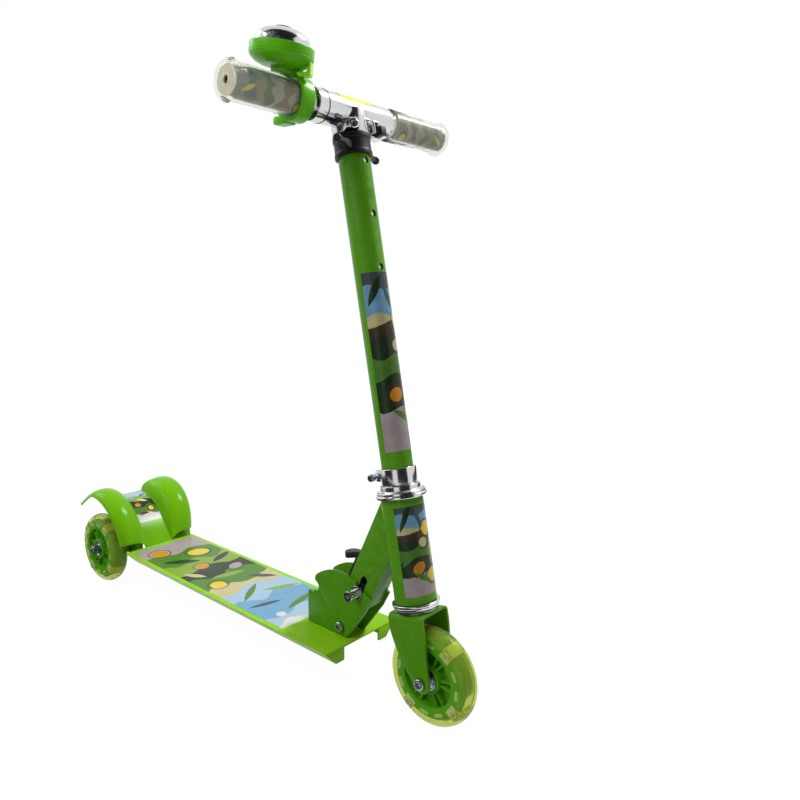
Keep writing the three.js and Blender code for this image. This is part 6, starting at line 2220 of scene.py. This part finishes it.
@dataclass
class Bell:
    """The bell on the right grip: strap, bowl, dome, cap and thumb lever."""

    offset: float = -19.0
    ring_inner: float = 16.6
    ring_outer: float = 20.2
    ring_half: float = 7.5
    bowl_bottom: float = 21.5
    bowl_height: float = 17.5
    dome_radius: float = 24.0
    dome_height: float = 15.4
    dome_wall: float = 1.1
    dome_hole: float = 2.6
    dome_sunk: float = 1.5
    lever_angle: float = 38.0
    lever_circle: float = 13.0
    lever_rise: float = 5.0
    hammer_turn: float = 40.0
    hammer_reach: float = 8.2

    @property
    def rim(self) -> float:
        """The height of the bowl's rim."""
        return self.bowl_bottom + self.bowl_height

    def base(self, bench: Workbench) -> Piece:
        """The strap, its stem and the bowl."""
        half = self.ring_half
        ring = bench.tube("ring", (self.ring_outer, self.ring_inner), (-half, half), FINE, Axis.Y, 1.2)
        strap = [(-22.5, -23.6), (-3.0, -21.4), (-3.0, -16.9), (-15.0, -15.4), (-22.5, -15.6)]
        tail = bench.plate("tail", rounded(strap, 3.6, 6, True), (-6.0, 6.0), Plane.XZ, 1.0)
        low, rim = self.bowl_bottom, self.rim
        stem = bench.block("stem", (-6.5, self.offset - 6.5, 17.6), (6.5, half, low + 2.2), 1.2)
        wide = 28.4
        outer = [
            (0.0, low), (9.0, low), (17.5, low + 1.0), (23.4, low + 3.2), (27.2, low + 6.4),
            (wide, low + 8.8), (wide, low + 9.6), (28.0, low + 9.9), (wide, low + 10.2), (wide, rim),
            (26.2, rim), (26.2, low + 14.0), (22.6, low + 8.8), (14.0, low + 3.6), (0.0, low + 2.2),
        ]
        middle = shift(y=self.offset)
        bowl = bench.moved(bench.spun("bowl", rounded(outer, 0.8, 3), FINE), middle)
        window = bench.block("window", (16.0, -4.2, low + 4.7), (60.0, 8.4, low + 7.7))
        bench.cut(bowl, bench.moved(window, middle @ rotation(self.lever_angle)))
        head = rim - self.dome_sunk + self.dome_height - 1.4
        post = bench.moved(bench.rod("post", 4.2, (low + 1.0, head), SMALL), middle)
        bench.cut(stem, bench.rod("space", self.ring_inner, (-60.0, 60.0), FINE, Axis.Y))
        return bench.joined("bell.base", ring, tail, stem, bowl, post)

    def dome(self, bench: Workbench) -> Piece:
        """The chrome dome, with a rolled lip at its foot."""
        foot = self.rim - self.dome_sunk
        r, h = self.dome_radius, self.dome_height
        hole, wall = self.dome_hole, self.dome_wall
        upright = 0.28
        outer = [(r, foot), (r, foot + h * upright)]
        for step in range(1, 13):
            angle = math.radians(90 * step / 12)
            across = hole + (r - hole) * math.cos(angle) ** 0.72
            outer.append((across, foot + h * (upright + (1 - upright) * math.sin(angle) ** 1.05)))
        inner = [(max(hole, a - wall), b - 1.0) for a, b in reversed(outer)]
        inner[-1] = (r - wall, foot)
        return bench.moved(bench.spun("bell.dome", [*outer, *inner], FINE), shift(y=self.offset))

    def cap(self, bench: Workbench) -> Piece:
        """The low cap on top of the dome."""
        base = self.rim - self.dome_sunk + self.dome_height + GAP
        pin, foot, top = 2.2, base - 12.0, base + 1.5
        profile = [
            (0.0, foot), (pin, foot), (pin, base), (8.0, base), (8.0, base + 0.9), (5.6, top),
            (0.0, top),
        ]
        return bench.moved(bench.spun("bell.cap", rounded(profile, 0.5, 3), PLAIN), shift(y=self.offset))

    def lever(self, bench: Workbench) -> Piece:
        """The thumb lever, bent down outside the bowl, and its hammer."""
        low = self.bowl_bottom + self.lever_rise
        high = low + 2.4
        reach, half, back = 14.6, 3.6, 12.0
        corners = [(-half, -half), (reach, -half), (reach, half), (-half, half)]
        arm = bench.plate("arm", rounded(corners, 2.4, 5, True), (low, high), Plane.XY, 0.4)
        hook = [
            (reach - 3.0, high), (reach, high), (reach, high - 11.6), (reach - back, high - 12.4),
            (reach - back, high - 9.6), (reach - 3.0, high - 8.8),
        ]
        thumb = bench.plate("thumb", rounded(hook, 2.0, 6, True), (-7.0, 7.0), Plane.XZ, 0.9)
        foot = self.rim - 4.5
        out = self.hammer_reach
        boss = bench.tube("boss", (3.6, 1.9), (low, foot + 2.4), SMALL)
        hammer_arm = bench.block("hammer_arm", (2.2, -2.0, foot), (out, 2.0, foot + 2.2), 0.5)
        hammer = bench.moved(bench.rod("hammer", 2.2, (foot, foot + 6.9), SMALL), shift(out))
        striker = bench.moved(bench.joined("striker", hammer_arm, hammer), rotation(self.hammer_turn))
        lever = bench.joined("bell.lever", arm, thumb, boss, striker)
        angle = math.radians(self.lever_angle)
        x, y = (self.lever_circle * part for part in (math.cos(angle), math.sin(angle)))
        return bench.moved(lever, shift(x, y + self.offset) @ rotation(self.lever_angle))

    def build(self, bench: Workbench) -> None:
        """Builds the bell's pieces."""
        for piece, finish, body, slot, node in (
            (self.base(bench), BELL_GREEN, Body.HANDLE_RIGHT, Slot.GREEN_PLASTIC, "bell_base"),
            (self.dome(bench), CHROME, Body.HANDLE_RIGHT, Slot.CHROME, "bell_dome"),
            (self.cap(bench), BELL_GREEN, Body.HANDLE_RIGHT, Slot.GREEN_PLASTIC, "bell_cap"),
            (self.lever(bench), LEVER_GREEN, Body.BELL_LEVER, Slot.GREEN_PLASTIC, "bell_lever"),
        ):
            bench.done(piece, finish, body, slot, [node], BELL)


# The studio


@dataclass
class Lamp:
    """A soft rectangular lamp."""

    name: str
    place: Point
    aim: Point
    size: Pair
    watts: float


@dataclass
class Card:
    """A dark card that only gloss reflects."""

    name: str
    place: Point
    aim: Point
    size: Pair


def facing(place: Point, aim: Point, axis: str) -> Matrix:
    """A frame at a place, with one of its axes turned towards an aim."""
    away = Vector(aim) - Vector(place)
    return shift(*place) @ away.to_track_quat(axis, "Y").to_matrix().to_4x4()


@dataclass
class Studio:
    """A pale floor, soft lamps, dark cards, a plain white surround and the camera."""

    camera_place: Point = (0.67262, -0.4959, 0.42236)
    yaw: float = 130.81
    pitch: float = 8.79
    roll: float = 0.5
    focal_pixels: float = 679.46
    frame_pixels: float = 800.0
    sensor: float = 36.0
    surround: float = 0.36
    floor_size: float = 14.0
    floor_glow: float = 1.25
    floor_share: float = 0.76
    far_share: float = 0.05
    lamps: tuple[Lamp, ...] = (
        Lamp("key", (0.7, 1.35, 2.0), (0.0, 0.0, 0.25), (0.6, 0.6), 46.0),
        Lamp("fill", (-0.2, -1.7, 1.6), (0.05, 0.0, 0.25), (1.2, 1.2), 21.0),
        Lamp("back", (-1.6, -0.4, 1.6), (-0.1, 0.0, 0.2), (1.0, 1.0), 9.0),
    )
    cards: tuple[Card, ...] = (
        Card("card.right", (-0.15, -1.0, 0.5), (0.15, 0.0, 0.5), (1.1, 1.0)),
        Card("card.front", (1.35, -0.5, 0.42), (0.2, 0.0, 0.42), (1.5, 0.84)),
        Card("card.high", (0.62, -0.52, 1.35), (0.17, -0.05, 0.66), (2.6, 1.6)),
        Card("card.left", (0.32, 0.48, 0.2), (0.17, 0.0, 0.6), (0.7, 0.1)),
        Card("card.low", (0.0, -0.47, 0.004), (0.0, -0.47, 1.0), (1.1, 0.8)),
    )

    def camera(self) -> None:
        """Stands the camera where the photograph was taken from."""
        data = bpy.data.cameras.new("camera")
        camera = bpy.data.objects.new("camera", data)
        bpy.context.scene.collection.objects.link(camera)
        yaw, pitch, roll = (math.radians(value) for value in (self.yaw, self.pitch, self.roll))
        look = Vector((math.cos(yaw) * math.cos(pitch), math.sin(yaw) * math.cos(pitch), -math.sin(pitch)))
        right = Vector((math.sin(yaw), -math.cos(yaw), 0.0))
        up = right.cross(look)
        turned_right = right * math.cos(roll) + up * math.sin(roll)
        turned_up = up * math.cos(roll) - right * math.sin(roll)
        axes = Matrix((turned_right, turned_up, -look)).transposed()
        camera.matrix_world = shift(*self.camera_place) @ axes.to_4x4()
        data.sensor_width = self.sensor
        data.lens = self.focal_pixels / self.frame_pixels * self.sensor
        data.clip_start = 0.01
        data.clip_end = 50.0
        bpy.context.scene.camera = camera

    def seen(self, g: Graph) -> Value:
        """1 for rays that look at the surround: from the camera, off gloss and through clear pieces."""
        made = g.node("ShaderNodeLightPath")
        camera = g.out(made, "Is Camera Ray")
        glossy = g.out(made, "Is Glossy Ray")
        passing = g.out(made, "Is Transmission Ray")
        return camera.largest(glossy).largest(passing)

    def floor(self, bench: Workbench) -> None:
        """Lays the pale floor, which keeps the scooter's shadow."""
        bench.clear()
        bpy.ops.mesh.primitive_plane_add(size=self.floor_size)
        floor = bpy.context.object
        floor.name = "floor"
        g = Graph("floor")
        grain = g.noise(g.place(), 3.0, 2.0)
        east, north, _ = g.parts(g.place())
        far = ((east**2.0 + north**2.0) * 0.4 - 0.6).clamped()
        grey = g.mix(grain, (0.42, 0.42, 0.42), (0.46, 0.46, 0.46))
        diffuse = g.node("ShaderNodeBsdfDiffuse", None, {"Color": grey})
        glow = g.node("ShaderNodeEmission", None, {"Color": (1.0, 1.0, 1.0), "Strength": self.floor_glow})
        share = self.seen(g) * (self.floor_share + far * self.far_share)
        mixed = g.node("ShaderNodeMixShader", None, {0: share, 1: g.out(diffuse), 2: g.out(glow)})
        floor.data.materials.append(g.close(g.out(mixed)))

    def world(self) -> None:
        """A plain white surround, softer as a source of light than as a background."""
        world = bpy.data.worlds.new("surround")
        bpy.context.scene.world = world
        g = Graph("surround", world)
        inputs = {"Value": self.seen(g), "To Min": self.surround, "To Max": 1.0}
        level = g.out(g.node("ShaderNodeMapRange", None, inputs))
        light = g.node("ShaderNodeBackground", None, {"Color": (1.0, 1.0, 1.0), "Strength": level})
        g.close(g.out(light), "ShaderNodeOutputWorld")

    def light(self, lamp: Lamp) -> None:
        """Hangs one lamp."""
        data = bpy.data.lights.new(lamp.name, "AREA")
        data.shape = "RECTANGLE"
        data.size, data.size_y = lamp.size
        data.energy = lamp.watts
        made = bpy.data.objects.new(lamp.name, data)
        bpy.context.scene.collection.objects.link(made)
        made.matrix_world = facing(lamp.place, lamp.aim, "-Z")

    def dark_cards(self, bench: Workbench) -> None:
        """Stands the dark cards that give the plated and glossy pieces their dark bands."""
        g = Graph("dark card")
        grain = g.noise(g.place(), 4.0, 2.0)
        colour = g.mix(grain, (0.02, 0.02, 0.022), (0.04, 0.04, 0.04))
        material = g.close(g.out(g.node("ShaderNodeBsdfDiffuse", None, {"Color": colour})))
        for card in self.cards:
            bench.clear()
            bpy.ops.mesh.primitive_plane_add(size=1.0)
            made = bpy.context.object
            made.name = card.name
            flat = Matrix.Diagonal((*card.size, 1.0, 1.0))
            made.matrix_world = facing(card.place, card.aim, "Z") @ flat
            made.data.materials.append(material)
            for ray in ("camera", "diffuse", "transmission", "shadow"):
                setattr(made, f"visible_{ray}", False)

    def build(self, bench: Workbench) -> None:
        """Builds the studio."""
        self.camera()
        self.world()
        self.floor(bench)
        self.dark_cards(bench)
        for lamp in self.lamps:
            self.light(lamp)
        bpy.context.scene.view_settings.view_transform = "Standard"


# The scooter


def main() -> None:
    """Builds the studio and every sub-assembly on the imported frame."""
    logging.basicConfig(level=logging.INFO, format="%(name)s: %(message)s")
    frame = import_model()
    bench = Workbench(frame)
    Studio().build(bench)
    for kind in (Wheel, Fasteners, Tread, Fender, Neck, Latch, Column, Handlebar, Bell):
        LOG.info("building %s", kind.__name__)
        kind().build(bench)
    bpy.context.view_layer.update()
    LOG.info("%d pieces", bench.pieces)


if __name__ == "__main__":
    main()
